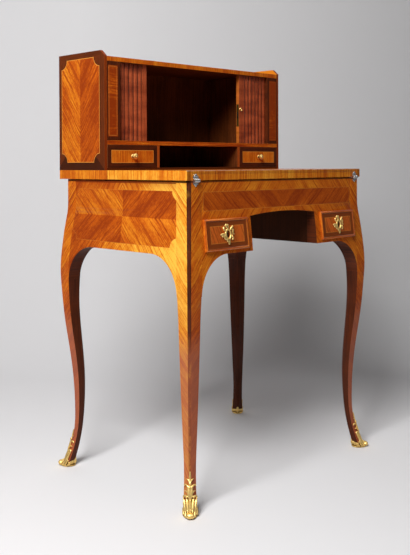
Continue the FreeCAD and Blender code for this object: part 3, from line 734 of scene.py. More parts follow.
def make_gilt(wire, colours):
    """Gilt bronze, bright on its crowns, tarnished and painted with shade in its hollows, and painted with a
    contact shadow at its sole.
    """
    place, _ = surface(wire)
    hollow = wire.node("ShaderNodeAttribute", {"attribute_name": "hollow"}, output="Fac")
    rub = wire.clouds(place, 0.25, 4.0)
    # A dark sole and a painted contact shadow along the bottom of the sabots
    sole_and_contact_shadow = (1 - place[2] / 4).most(0.0) * 1.5
    # Tarnish, and painted shade in the hollows
    tarnish_and_shade = (hollow * 2.4 + rub * 0.6 + sole_and_contact_shadow - 0.2).held()
    colour = wire.mix(tarnish_and_shade, colours.gilt, colours.gilt_hollow)
    speck = wire.clouds(place, 1.5)
    close_finish(wire, colour, 0.34 + tarnish_and_shade * 0.3 + speck * 0.08, speck, bump=0.12, Metallic=1.0)


def make_metal(wire, body, rough):
    """Dull worked metal with scratches, cloudy tarnish and painted shade in its hollows."""
    place, _ = surface(wire)
    x, y, z = place
    cloud = wire.clouds(place, 0.1, 4.0)
    hollow = wire.node("ShaderNodeAttribute", {"attribute_name": "hollow"}, output="Fac")
    # Cloudy tarnish, and painted shade in the hollows
    tarnish_and_shade = (hollow * 2.5 + cloud * 0.9 - 0.35).held()
    colour = wire.mix(tarnish_and_shade, body, darker(body, 0.12))
    scratch = wire.noise(x * 4, y * 4, z * 0.5)
    close_finish(wire, colour, rough + scratch * 0.2, scratch, bump=0.15, Metallic=1.0)


def make_paper_finish(wire, studio):
    """Matt paper, darker where it runs away to the right, and clear from behind."""
    place, _ = surface(wire)
    x, y, _ = place
    tooth = wire.clouds(place, 0.3)
    pale = tuple(studio.floor)
    right = x * cos(studio.turn) - y * sin(studio.turn)
    away = x * sin(studio.turn) + y * cos(studio.turn)
    # Painted shade: the paper is painted darker to the right and away, where the light falls off
    falloff = right.rise(-500, 1500) * away.rise(300, 900)
    behind = wire.node("ShaderNodeNewGeometry", output="Backfacing")
    colour = wire.mix(falloff + tooth * 0.02, pale, darker(pale, 0.66))
    close_finish(wire, colour, 0.85 + tooth * 0.1, tooth, bump=0.02, clear=behind)


def finish_named(name, maker, *settings):
    """The named material, made when it is first asked for."""
    finish = bpy.data.materials.get(name)
    if finish is None:
        finish = bpy.data.materials.new(name)
        finish.use_nodes = True
        finish.node_tree.nodes.clear()
        maker(Wire(finish.node_tree), *settings)
    return finish


def oak_boards(colours):
    return finish_named("oak boards", make_oak, colours)


def inside_stain(colours):
    return finish_named("inside stain", make_stain, colours)


def gilt_bronze(colours):
    return finish_named("gilt bronze", make_gilt, colours)


def hinge_steel(colours):
    return finish_named("hinge steel", make_metal, colours.steel, STEEL_ROUGH)


def piece_from(mesh, name):
    """Makes a mesh an object of the scene."""
    piece = bpy.data.objects.new(name, mesh)
    bpy.context.scene.collection.objects.link(piece)
    return piece


def joint_named(name):
    return next(joint for joint in frame["joints"] if joint["name"] == name)


def verts_among(parts):
    """The vertices among the parts that an operator gives back."""
    return [part for part in parts if isinstance(part, bmesh.types.BMVert)]


def every_part(shape):
    return shape.verts[:] + shape.edges[:] + shape.faces[:]


def edges_of(verts):
    return list({edge for vert in verts for edge in vert.link_edges})


def mesh_from(shape, name):
    """Ends a bmesh as a smooth-shaded mesh with its sharp edges kept."""
    mesh = bpy.data.meshes.new(name)
    shape.to_mesh(mesh)
    shape.free()
    mesh.shade_smooth()
    mesh.set_sharp_from_angle(angle=SMOOTH_ANGLE)
    return mesh


def clothe(mesh, node, finish):
    """Makes a mesh a new piece with a finish, which stands for a node."""
    piece = piece_from(mesh, mesh.name)
    piece.data.materials.clear()
    piece.data.materials.append(finish)
    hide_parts(node)
    return piece


def dress(mesh, node, finish):
    """Makes a mesh a new piece that stands for a node and moves as it does."""
    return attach(clothe(mesh, node, finish), frame["nodes"][node]["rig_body"])


def paint(finish, *nodes):
    """Gives nodes that keep their own shape a finish."""
    for node in nodes:
        frame["nodes"][node].material_slots[0].material = finish


def whole_copy(node):
    """A node's shape with its triangles joined into whole faces."""
    shape = bmesh.new()
    shape.from_mesh(frame["nodes"][node].data)
    bmesh.ops.remove_doubles(shape, verts=shape.verts, dist=0.002 * MM)
    bmesh.ops.dissolve_limit(shape, angle_limit=radians(0.4), verts=shape.verts, edges=shape.edges)
    return shape


def mark_arrises(shape):
    """Marks the sharp edges that stand proud, which wear round, while inner corners stay crisp."""
    weight = shape.edges.layers.float.new("bevel_weight_edge")
    for edge in shape.edges:
        if edge.is_manifold and edge.is_convex and edge.calc_face_angle() > ARRIS_ANGLE:
            edge[weight] = 1.0


def ease(piece, width):
    """Rounds a piece's marked edges a little."""
    eased = piece.modifiers.new("eased edges", "BEVEL")
    eased.width = width
    eased.segments = 2
    eased.limit_method = "WEIGHT"
    eased.harden_normals = True


def probe(node, start, way):
    """Where a line from a point along a direction first meets a node, in millimetres."""
    mesh = frame["nodes"][node].data
    points = [vert.co for vert in mesh.vertices]
    tree = BVHTree.FromPolygons(points, [face.vertices for face in mesh.polygons])
    place = tree.ray_cast(Vector(start) * MM, Vector(way))[0]
    if place is None:
        raise RuntimeError("no surface of " + node + " on the probed line")
    return place / MM


def eased_board(node, finish, width, rise=0.0):
    """A node's shape with eased edges in its finish, with its top raised a little if need be."""
    shape = whole_copy(node)
    top = max(vert.co.z for vert in shape.verts)
    raised = [vert for vert in shape.verts if vert.co.z > top - 0.01 * MM]
    bmesh.ops.translate(shape, vec=(0, 0, rise), verts=raised)
    mark_arrises(shape)
    ease(dress(mesh_from(shape, node + "_eased"), node, finish), width)


def add_lobe(shape, centre, radii, lean=0.0):
    """Adds an oval swelling, leaned in the XZ plane."""
    leaned = Matrix.Translation(centre) @ Matrix.Rotation(lean, 4, "Y")
    matrix = leaned @ Matrix.Diagonal((*radii, 1.0))
    bmesh.ops.create_uvsphere(shape, u_segments=16, v_segments=10, radius=1.0, matrix=matrix)


def add_curl(shape, start, heading, step, bends, radii):
    """Adds a tapering curl in the XZ plane: a ring drawn on along a heading and turned by bends, in degrees."""
    heading = radians(heading)
    matrix = Matrix.Translation(start) @ Matrix.Rotation(heading, 4, "Y")
    circle = bmesh.ops.create_circle(shape, cap_ends=True, segments=10, radius=radii[0], matrix=matrix)
    edges = edges_of(circle["verts"])
    centre = Vector(start)
    count = len(bends)
    thick = [radii[0] + (radii[1] - radii[0]) * index / count for index in range(count + 1)]
    for index, bend in enumerate(map(radians, bends)):
        drawn = bmesh.ops.extrude_edge_only(shape, edges=edges)["geom"]
        verts = verts_among(drawn)
        edges = [part for part in drawn if isinstance(part, bmesh.types.BMEdge)]
        way = Vector((sin(heading), 0, cos(heading))) * step
        bmesh.ops.translate(shape, vec=way, verts=verts)
        centre = centre + way
        heading += bend
        bmesh.ops.rotate(shape, cent=centre, matrix=Matrix.Rotation(bend, 3, "Y"), verts=verts)
        grow = Vector((thick[index + 1] / thick[index],) * 3)
        bmesh.ops.scale(shape, vec=grow, space=Matrix.Translation(-centre), verts=verts)
    bmesh.ops.edgeloop_fill(shape, edges=edges)


def spin_round(shape, outline, steps):
    """Spins an outline right round the Z axis and closes the seam."""
    bmesh.ops.spin(
        shape, geom=outline, cent=(0, 0, 0), axis=(0, 0, 1), angle=2 * pi, steps=steps, use_merge=True
    )
    bmesh.ops.remove_doubles(shape, verts=shape.verts, dist=0.001 * MM)


def set_turned(shape, node, depth, finish):
    """Lays a turned shape on its back, at the middle of its node and at a depth, and dresses it."""
    low, high = span(node)
    place = Vector(((low.x + high.x) / 2, depth, (low.z + high.z) / 2)) * MM
    laid = Matrix.Translation(place) @ Matrix.Rotation(pi / 2, 4, "X")
    bmesh.ops.transform(shape, matrix=laid, verts=shape.verts)
    bmesh.ops.recalc_face_normals(shape, faces=shape.faces)
    mesh = mesh_from(shape, node + "_turned")
    mark_hollows(mesh)
    dress(mesh, node, finish)


def cast(shape, name, voxel, passes):
    """Melts the parts of a shape into one casting, with the depth of its hollows kept on it."""
    bmesh.ops.recalc_face_normals(shape, faces=shape.faces)
    raw = piece_from(mesh_from(shape, name), name)
    melted = raw.modifiers.new("melted", "REMESH")
    melted.mode = "VOXEL"
    melted.voxel_size = voxel
    chased = raw.modifiers.new("chased", "SMOOTH")
    chased.factor = 0.5
    chased.iterations = passes
    bpy.context.view_layer.update()
    graph = bpy.context.evaluated_depsgraph_get()
    mesh = bpy.data.meshes.new_from_object(raw.evaluated_get(graph))
    first = raw.data
    bpy.data.objects.remove(raw)
    bpy.data.meshes.remove(first)
    mesh.name = name
    mark_hollows(mesh)
    mesh.shade_smooth()
    return mesh


def mark_hollows(mesh):
    """Keeps on each point of a mesh how many millimetres it lies under the mesh's own smoothed surface."""
    passes = 24
    shape = bmesh.new()
    shape.from_mesh(mesh)
    shape.normal_update()
    layer = shape.verts.layers.float.new("hollow")
    places = [(vert.co.copy(), vert.normal.copy()) for vert in shape.verts]
    for _ in range(passes):
        bmesh.ops.smooth_vert(
            shape, verts=shape.verts, factor=0.5, use_axis_x=True, use_axis_y=True, use_axis_z=True
        )
    for vert, (place, way) in zip(shape.verts, places):
        vert[layer] = (vert.co - place).dot(way) / MM
        vert.co = place
    shape.to_mesh(mesh)
    shape.free()


def placed(mesh, matrix, name):
    """A copy of a mesh, set in its place and turned right side out."""
    shape = bmesh.new()
    shape.from_mesh(mesh)
    bmesh.ops.transform(shape, matrix=matrix, verts=shape.verts)
    if matrix.determinant() < 0:
        bmesh.ops.reverse_faces(shape, faces=shape.faces)
    copy = bpy.data.meshes.new(name)
    shape.to_mesh(copy)
    shape.free()
    copy.shade_smooth()
    return copy


class DESK_OT_table(bpy.types.Operator):
    """Veneer the legs and the frieze, and finish the boards inside them."""

    bl_idname = "desk.table"
    bl_label = "Legs and frieze"

    def execute(self, context):
        colours, sizes = context.scene.desk_colours, context.scene.desk_inlay
        legs = finish_named("leg veneer", make_leg_veneer, colours)
        sides = finish_named("side veneer", make_side_veneer, colours, sizes)
        fronts = finish_named("front veneer", make_front_veneer, colours, sizes)
        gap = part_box("fixed_top")[0].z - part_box("leg_front_left")[1].z
        raised_share = 0.75
        for corner in CORNERS:
            eased_board("leg_" + corner, legs, sizes.eased, gap * raised_share)
        for end, finish in (("left", sides), ("right", sides), ("front", fronts), ("rear", fronts)):
            eased_board(end + "_apron", finish, sizes.eased / 2)
        paint(oak_boards(colours), "left_drawer_case", "right_drawer_case")
        paint(inside_stain(colours), "kneehole_cheeks", "kneehole_ceiling")
        return {"FINISHED"}


class DESK_OT_tops(bpy.types.Operator):
    """Veneer the writing leaf and the fixed top, and lay their leather."""

    bl_idname = "desk.tops"
    bl_label = "Table top"

    def execute(self, context):
        colours, sizes = context.scene.desk_colours, context.scene.desk_inlay
        veneer = finish_named("top veneer", make_top_veneer, colours, sizes)
        leather = finish_named("writing leather", make_leather, colours)
        for node in ("writing_leaf", "fixed_top"):
            eased_board(node, veneer, sizes.eased)
        for node in ("bed_leather", "leaf_leather"):
            eased_board(node, leather, sizes.eased / 2)
        paint(veneer, "bed_board")
        return {"FINISHED"}


class DESK_OT_cabinet(bpy.types.Operator):
    """Veneer the cabinet and stain its inside."""

    bl_idname = "desk.cabinet"
    bl_label = "Cabinet"

    def execute(self, context):
        colours, sizes = context.scene.desk_colours, context.scene.desk_inlay
        sides = finish_named("cabinet side veneer", make_cabinet_side_veneer, colours, sizes)
        stiles = finish_named("stile veneer", make_stile_veneer, colours, sizes)
        boards = finish_named("board veneer", make_board_veneer, colours)
        stain = inside_stain(colours)
        for node, finish in (
            ("left_cabinet_side", sides),
            ("right_cabinet_side", sides),
            ("cabinet_stiles", stiles),
            ("cabinet_top", boards),
            ("cabinet_shelf", boards),
            ("cabinet_dividers", stain),
        ):
            eased_board(node, finish, sizes.eased)
        paint(stain, "cabinet_base", "cabinet_back", "pocket_linings")
        return {"FINISHED"}


def rest_place(target, begin, end, travel):
    """Where a point of the tail rests, so that an eased draw over the shutter's travel would bring it to a
    target when the shutter is shut.
    """
    low, high = begin, end
    halvings = 40
    for _ in range(halvings):
        middle = (low + high) / 2
        share = (end - middle) / (end - begin)
        moved = middle - share * share * (3 - 2 * share) * travel
        if moved < target:
            low = middle
        else:
            high = middle
    return (low + high) / 2


class DESK_OT_tambour(bpy.types.Operator):
    """Make the reeded shutters, the slats stored behind the stiles and the lock."""

    bl_idname = "desk.tambour"
    bl_label = "Tambour shutters"

    def execute(self, context):
        colours = context.scene.desk_colours
        wood = finish_named("tambour wood", make_tambour_wood, colours)
        brass = finish_named("lock brass", make_metal, colours.brass, BRASS_ROUGH)
        for name, side in SIDES.items():
            paint(wood, name + "_tambour_lead")
            self.make_slats(name, wood)
            self.make_tail(name, side, wood)
        paint(brass, "tambour_lock_plate", "tambour_strike_plate")
        paint(hinge_steel(colours), "tambour_bolt")
        self.make_ring(gilt_bronze(colours))
        return {"FINISHED"}

    def add_slat(self, shape, left, pitch, low, high):
        """Adds one upright slat with a rounded face and a fine quirk on each side."""
        right = left + pitch - SLAT_GAP / 2
        shoulder = low.y + REED_DEPTH
        points = [(left + SLAT_GAP / 2, high.y), (left + SLAT_GAP / 2, shoulder)]
        steps = 8
        for step in range(steps + 1):
            angle = pi * step / steps
            across = left + pitch / 2 - cos(angle) * (pitch / 2 - REED_QUIRK)
            points.append((across, low.y + REED_DEPTH * (1 - sin(angle))))
        points += [(right, shoulder), (right, high.y)]
        face = shape.faces.new([shape.verts.new((x * MM, y * MM, low.z * MM)) for x, y in points])
        drawn = bmesh.ops.extrude_face_region(shape, geom=[face])["geom"]
        bmesh.ops.translate(shape, vec=(0, 0, (high.z - low.z) * MM), verts=verts_among(drawn))

    def slat_run(self, low, high):
        """Number and pitch of the slats in view, which fill their node."""
        width = high.x - low.x + SLAT_GAP
        count = round(width / SLAT_PITCH)
        return count, width / count

    def make_slats(self, name, wood):
        node = name + "_tambour_slats"
        low, high = span(node)
        count, pitch = self.slat_run(low, high)
        shape = bmesh.new()
        for index in range(count):
            self.add_slat(shape, low.x - SLAT_GAP / 2 + index * pitch, pitch, low, high)
        bmesh.ops.recalc_face_normals(shape, faces=shape.faces)
        dress(mesh_from(shape, node + "_reeded"), node, wood)

    def make_tail(self, name, side, wood):
        """Slats stored behind the stile, which would be drawn out as the shutter shuts."""
        node = name + "_tambour_tail"
        travel = joint_named(name + "_shutter_slide")["range_m"][1] / MM
        low, high = span(name + "_tambour_slats")
        _, pitch = self.slat_run(low, high)
        clearance = 0.6
        begin = (high.x if side > 0 else -low.x) + SLAT_GAP / 2
        end = span("cabinet_stiles")[1].x - clearance
        shape = bmesh.new()
        for index in range(int((end - begin + travel) // pitch)):
            self.add_slat(shape, begin - travel + index * pitch, pitch, low, high)
        for vert in shape.verts:
            vert.co.x = rest_place(vert.co.x / MM, begin, end, travel) * MM
        if side < 0:
            bmesh.ops.scale(shape, vec=(-1, 1, 1), verts=shape.verts)
        bmesh.ops.recalc_face_normals(shape, faces=shape.faces)
        piece = clothe(mesh_from(shape, node + "_drawn"), node, wood)
        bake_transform(piece)

    def make_ring(self, gilt):
        """Ring of the keyhole, turned from a small round."""
        node = "tambour_keyhole_ring"
        low, high = span(node)
        round_radius, sunk = 1.1, 0.8
        radius = (high.x - low.x) / 2 - round_radius
        shape = bmesh.new()
        matrix = Matrix.Translation((radius * MM, 0, 0)) @ Matrix.Rotation(pi / 2, 4, "X")
        circle = bmesh.ops.create_circle(shape, segments=10, radius=round_radius * MM, matrix=matrix)
        spin_round(shape, circle["verts"] + edges_of(circle["verts"]), steps=28)
        set_turned(shape, node, high.y - sunk, gilt)


class DESK_OT_small_drawers(bpy.types.Operator):
    """Veneer the small drawers and turn their knobs."""

    bl_idname = "desk.small_drawers"
    bl_label = "Small drawers"

    def execute(self, context):
        colours, sizes = context.scene.desk_colours, context.scene.desk_inlay
        veneer = finish_named("small drawer veneer", make_small_drawer_veneer, colours, sizes)
        for name in SIDES:
            drawer = name + "_small_drawer"
            eased_board(drawer + "_front", veneer, sizes.eased)
            paint(oak_boards(colours), drawer + "_box")
            self.make_knob(drawer + "_knob", gilt_bronze(colours))
        return {"FINISHED"}

    def make_knob(self, node, gilt):
        """Turned knob with a fluted head on a waisted neck."""
        profile = (
            (0, 0), (5.6, 0), (5.9, 0.8), (4.9, 1.6), (3.4, 2.8), (2.9, 5.0), (3.4, 6.6), (5.9, 7.6),
            (7.2, 8.8), (7.0, 10.4), (5.4, 11.8), (3.0, 12.7), (2.2, 12.5), (1.6, 13.3), (0, 13.6),
        )
        flutes, fluted_from, fluted_to, valley, crest = 12, 7.0, 12.6, 0.95, 0.08
        shape = bmesh.new()
        verts = [shape.verts.new((radius * MM, 0, height * MM)) for radius, height in profile]
        edges = [shape.edges.new(pair) for pair in zip(verts, verts[1:])]
        spin_round(shape, verts + edges, steps=48)
        for vert in shape.verts:
            if fluted_from * MM < vert.co.z < fluted_to * MM and vert.co.xy.length > 0:
                angle = Vector((1, 0)).angle_signed(vert.co.xy)
                vert.co.xy *= valley + crest * abs(cos(flutes / 2 * angle))
        set_turned(shape, node, span(node)[1].y, gilt)


class DESK_OT_lower_drawers(bpy.types.Operator):
    """Make the moulded drawer fronts, their escutcheons and locks."""

    bl_idname = "desk.lower_drawers"
    bl_label = "Lower drawers"

    def execute(self, context):
        colours, sizes = context.scene.desk_colours, context.scene.desk_inlay
        veneer = finish_named("drawer veneer", make_drawer_veneer, colours, sizes)
        cartouche = self.make_cartouche()
        for name in SIDES:
            drawer = name + "_drawer"
            self.make_front(drawer + "_front", veneer)
            paint(oak_boards(colours), drawer + "_box")
            paint(hinge_steel(colours), drawer + "_lock", drawer + "_bolt")
            self.place_escutcheon(drawer + "_escutcheon", cartouche, gilt_bronze(colours))
        return {"FINISHED"}

    def swell(self, node):
        """Depth of a swelled drawer front at any height, through three probed points."""
        low, high = span(node)
        from_edge, clear_of_keyhole, before_face = 1, 0.2, 50
        heights = (low.z + from_edge, (low.z + high.z) / 2, high.z - from_edge)
        aside = low.x + (high.x - low.x) * clear_of_keyhole
        starts = [(aside, low.y - before_face, height) for height in heights]
        depths = [probe(node, start, (0, 1, 0)).y for start in starts]

        def depth(height):
            total = 0.0
            for one, at in enumerate(heights):
                share = 1.0
                for other in heights[:one] + heights[one + 1:]:
                    share *= (height - other) / (at - other)
                total += share * depths[one]
            return total

        return depth

    def make_front(self, node, veneer):
        """A face with a rounded moulding, bent to the frieze, on the plug that holds the lock."""
        low, high = span(node)
        depth = self.swell(node)
        lip, rise, fall, cove, fillet, rows = 6.9, 3.2, 1.7, 2.4, 0.5, 16
        shape = bmesh.new()
        centre = Vector(((low.x + high.x) / 2, 0, (low.z + high.z) / 2)) * MM
        upright = Matrix.Translation(centre) @ Matrix.Rotation(pi / 2, 4, "X")
        size = Matrix.Diagonal(((high.x - low.x) * MM, (high.z - low.z) * MM, 1, 1))
        bmesh.ops.create_grid(shape, x_segments=1, y_segments=1, size=0.5, matrix=upright @ size)
        face = list(shape.faces)
        drawn = bmesh.ops.extrude_face_region(shape, geom=face)["geom"]
        bmesh.ops.translate(shape, vec=(0, (lip - rise) * MM, 0), verts=verts_among(drawn))
        bmesh.ops.recalc_face_normals(shape, faces=shape.faces)
        angles = [pi / 10 * step for step in range(6)]
        turns = list(zip(angles, angles[1:]))
        moves = [(rise * (cos(a) - cos(b)), rise * (sin(b) - sin(a))) for a, b in turns]
        moves += [(cove * (sin(b) - sin(a)), fall * (cos(b) - cos(a))) for a, b in turns]
        for inward, up in moves + [(fillet, 0.0)]:
            bmesh.ops.inset_region(
                shape, faces=face, thickness=inward * MM, depth=up * MM, use_boundary=True, use_even_offset=True
            )
        for row in range(1, rows):
            level = (0, 0, (low.z + (high.z - low.z) * row / rows) * MM)
            bmesh.ops.bisect_plane(shape, geom=every_part(shape), plane_co=level, plane_no=(0, 0, 1))
        for vert in shape.verts:
            vert.co.y += (rise + depth(vert.co.z / MM)) * MM
        plug = self.cut_plug(node, depth, lip)
        shape.from_mesh(plug)
        bpy.data.meshes.remove(plug)
        dress(mesh_from(shape, node + "_moulded"), node, veneer)

    def cut_plug(self, node, depth, lip):
        """The node's own plug with its lock mortise, cut off behind the lip and drawn on into the new face."""
        shape = whole_copy(node)
        kept = 14
        cut = (0, (span(node)[1].y - kept) * MM, 0)
        bmesh.ops.bisect_plane(
            shape, geom=every_part(shape), plane_co=cut, plane_no=(0, -1, 0), clear_outer=True
        )
        rim = [edge for edge in shape.edges if edge.is_boundary]
        drawn = bmesh.ops.extrude_edge_only(shape, edges=rim)["geom"]
        for vert in verts_among(drawn):
            vert.co.y = (depth(vert.co.z / MM) + lip / 2) * MM
        rim = [edge for edge in shape.edges if edge.is_boundary]
        bmesh.ops.holes_fill(shape, edges=rim, sides=0)
        bmesh.ops.recalc_face_normals(shape, faces=shape.faces)
        return mesh_from(shape, "plug")

    def make_cartouche(self):
        """Uneven leaf-and-scroll escutcheon round a tall open keyhole, flat in the XZ plane at the origin."""
        shape = bmesh.new()
        beads = 26
        for bead in range(beads):
            angle = 2 * pi * bead / beads
            centre = (0.5 + 6.9 * sin(angle), -0.6, 11.2 * cos(angle) - 0.5)
            add_lobe(shape, centre, (2.5, 2.2, 2.5))
        for centre, radii, lean in (
            ((-3.2, -0.9, 18.2), (3.6, 2.2, 5.4), -18),
            ((0.6, -0.7, 15.0), (2.6, 1.9, 4.6), 24),
            ((11.4, -0.9, 14.0), (2.8, 2.0, 6.4), 38),
            ((-14.6, -0.8, 0.4), (7.4, 1.9, 2.9), -8),
            ((-9.4, -0.9, -7.4), (3.0, 1.9, 5.6), -24),
            ((1.4, -0.9, -17.6), (3.0, 2.1, 6.4), 8),
            ((-1.6, -0.8, -13.6), (3.8, 1.9, 4.2), 30),
        ):
            add_lobe(shape, centre, radii, radians(lean))
        for start, heading, step, bends, radii in (
            ((-7.5, -0.9, 9.0), -62, 1.6, (8, 12, 20, 30, 40, 48, 52), (2.9, 1.4)),
            ((-12.0, -0.8, -1.0), -118, 1.5, (-4, -10, -24, -40, -52), (2.5, 1.3)),
            ((13.6, -0.9, 11.0), 170, 1.8, (10, 8, 2, -10, -24, -40, -52, -56), (2.9, 1.4)),
            ((9.0, -0.9, -4.0), 115, 1.8, (24, 20, 16, 20, 34, 48, 54), (2.9, 1.4)),
            ((-1.5, -0.9, 19.0), 30, 1.4, (26, 34, 44, 52), (2.6, 1.3)),
        ):
            add_curl(shape, start, heading, step, bends, radii)
        bmesh.ops.scale(shape, vec=(1.12 * MM, MM, 0.96 * MM), verts=shape.verts)
        return cast(shape, "cartouche", voxel=0.36 * MM, passes=3)

    def place_escutcheon(self, node, cartouche, gilt):
        """Bends the escutcheon to the face of its drawer."""
        low, high = span(node)
        sunk = 0.9
        place = Vector(((low.x + high.x) / 2, sunk, (low.z + high.z) / 2)) * MM
        depth = self.swell(node.replace("escutcheon", "front"))
        mesh = placed(cartouche, Matrix.Translation(place), node + "_cast")
        for vert in mesh.vertices:
            vert.co.y += depth(vert.co.z / MM) * MM
        dress(mesh, node, gilt)


class DESK_OT_sabots(bpy.types.Operator):
    """Cast the bronze shoes of the feet."""

    bl_idname = "desk.sabots"
    bl_label = "Sabots"

    def execute(self, context):
        colours = context.scene.desk_colours
        casting = self.make_casting()
        for name, (right, rear) in CORNERS.items():
            node = "sabot_" + name
            low, high = span(node)
            toe = Vector((high.x if right > 0 else low.x, high.y if rear > 0 else low.y, 0))
            turned = Matrix.Diagonal((right, rear, 1, 1)) @ Matrix.Rotation(pi / 4, 4, "Z")
            mesh = placed(casting, Matrix.Translation(toe * MM) @ turned, node + "_cast")
            dress(mesh, node, gilt_bronze(colours))
        return {"FINISHED"}

    def arris(self, height):
        """How far the leg's outer arris stands behind the tip of the toe at a height."""
        low, high = span("sabot_front_right")
        toe = Vector((high.x, low.y, height))
        return -(probe("leg_front_right", toe, Vector((-1, 1, 0)).normalized()) - toe).length

    def make_casting(self):
        """A shoe whose toe points along +X with its tip at the origin."""
        shape = self.leaf_work()
        half_arris, splayed_to, hugging_from = 2.5, 30, 44
        splay, closer, forward, aside = 0.58, 0.37, 0.85, 0.45
        heights = range(5, 106, 5)
        line = [self.arris(height) for height in heights]
        for vert in shape.verts:
            side, out, up = vert.co.x, -vert.co.y, vert.co.z
            step = min(max((up - heights.start) / heights.step, 0), len(line) - 1.001)
            before, after = line[int(step)], line[int(step) + 1]
            back = before + (after - before) * (step - int(step))
            past = max(abs(side) - half_arris, 0)
            risen = min(max((up - splayed_to) / (hugging_from - splayed_to), 0), 1)
            vert.co.x = back - past * (splay + closer * risen) + out * forward
            vert.co.y = side + (out * aside if side > 0 else -out * aside) * min(past, 1)
        self.add_shoe(shape)
        bmesh.ops.scale(shape, vec=(MM, MM, MM), verts=shape.verts)
        mesh = cast(shape, "sabot", voxel=0.55 * MM, passes=2)
        for vert in mesh.vertices:
            vert.co.z = max(vert.co.z, 0)
        return mesh

    def leaf_work(self):
        """Gadrooned shell, volutes and a rising leaf, flat in the XZ plane with their foot at the origin."""
        shape = bmesh.new()
        add_lobe(shape, (0, 0.4, 20), (12.6, 1.8, 21))
        for flute in range(-2, 3):
            reach = 22 - abs(flute) * 2.6
            add_lobe(shape, (flute * 5.2, -1.6, 20), (3.0, 3.4, reach), radians(flute * 4))
        for ridge in (-1, 0, 1):
            centre = (ridge * 2.6, -2.8, 52 - abs(ridge) * 4)
            add_lobe(shape, centre, (1.8, 2.6, 16 - abs(ridge) * 3), radians(ridge * 5))
        add_lobe(shape, (0, -1.5, 77), (2.4, 2.3, 12))
        add_lobe(shape, (0, -3.2, 65), (3.0, 2.8, 4))
        for side in (-1, 1):
            for start, heading, step, bends, radii in (
                ((4, -2.8, 39), 72, 2.2, (8, 16, 30, 44, 54, 58), (2.9, 1.5)),
                ((2, -2.6, 57), 34, 2.2, (10, 18, 28, 40, 50, 56), (2.5, 1.2)),
                ((2, -2.4, 45), 40, 2.1, (4, 12, 26, 40, 50), (2.2, 1.0)),
                ((1.5, -2.0, 69), 26, 1.8, (10, 20, 34, 46), (1.8, 0.9)),
                ((12.5, -1.8, 6), 14, 2.4, (-2, -4, -8, -14, -26, -40, -50), (2.5, 1.2)),
            ):
                foot = (side * start[0], start[1], start[2])
                add_curl(shape, foot, side * heading, step, [side * bend for bend in bends], radii)
        return shape

    def add_shoe(self, shape):
        """Adds the sole, the rolled and gadrooned toe and the beaded heel."""
        turned = Matrix.Translation((-27, 0, 5)) @ Matrix.Rotation(pi / 4, 4, "Z")
        bmesh.ops.create_cube(shape, size=1.0, matrix=turned @ Matrix.Diagonal((23.5, 23.5, 6, 1)))
        add_lobe(shape, (-26, 0, 2), (18.0, 15.4, 3.0))
        for bead in range(-4, 5):
            aside = abs(bead)
            centre = (-43 + aside * 3.4, bead * 3.4, 8 + (4 - aside) * 0.8)
            add_lobe(shape, centre, (2.5, 2.5, 5.0))
        add_lobe(shape, (-42.5, 0, 14), (2.4, 3.6, 9), radians(-8))
        add_lobe(shape, (-8, 0, 7.4), (7.2, 9.6, 6.2))
        for flute in range(-2, 3):
            spread = abs(flute)
            centre = (-17 - flute * flute * 1.2, flute * 4.8, 9.8 - spread * 0.7)
            add_lobe(shape, centre, (15.4 - spread * 1.3, 2.9, 7.2 - spread * 0.6), radians(27))


class DESK_OT_hinges(bpy.types.Operator):
    """Finish the steel hinges of the leaf."""

    bl_idname = "desk.hinges"
    bl_label = "Hinges"

    def execute(self, context):
        colours = context.scene.desk_colours
        steel = hinge_steel(colours)
        leaf_bosses = ((0, 10.6, 3.4, 3.0), (-3.6, 6.6, 3.7, 3.0), (3.6, 6.6, 3.7, 3.0))
        leg_bosses = ((0, 8.2, 5.6, 2.6), (0, 10.8, 3.0, 2.2))
        self.make_plates("leaf_hinge_plates", 1, leaf_bosses, steel)
        self.make_plates("leg_hinge_plates", -1, leg_bosses, steel)
        paint(steel, "hinge_pins")
        return {"FINISHED"}

    def make_plates(self, node, way, bosses, steel):
        """Plates with rounded bosses above or below their barrels, softened as filed steel is."""
        axis = Vector(joint_named("leaf_hinge")["pos_m"]) / MM
        half_plate, sunk, thick = 7.7, 1.8, 1.5
        shape = whole_copy(node)
        bmesh.ops.scale(shape, vec=(1 / MM,) * 3, verts=shape.verts)
        barrel = span(node)[1].x - half_plate
        for side in SIDES.values():
            for aside, rise, wide, tall in bosses:
                centre = (side * barrel + aside, axis.y + sunk, axis.z + way * rise)
                add_lobe(shape, centre, (wide, thick, tall))
        bmesh.ops.scale(shape, vec=(MM,) * 3, verts=shape.verts)
        dress(cast(shape, node + "_filed", voxel=0.3 * MM, passes=3), node, steel)


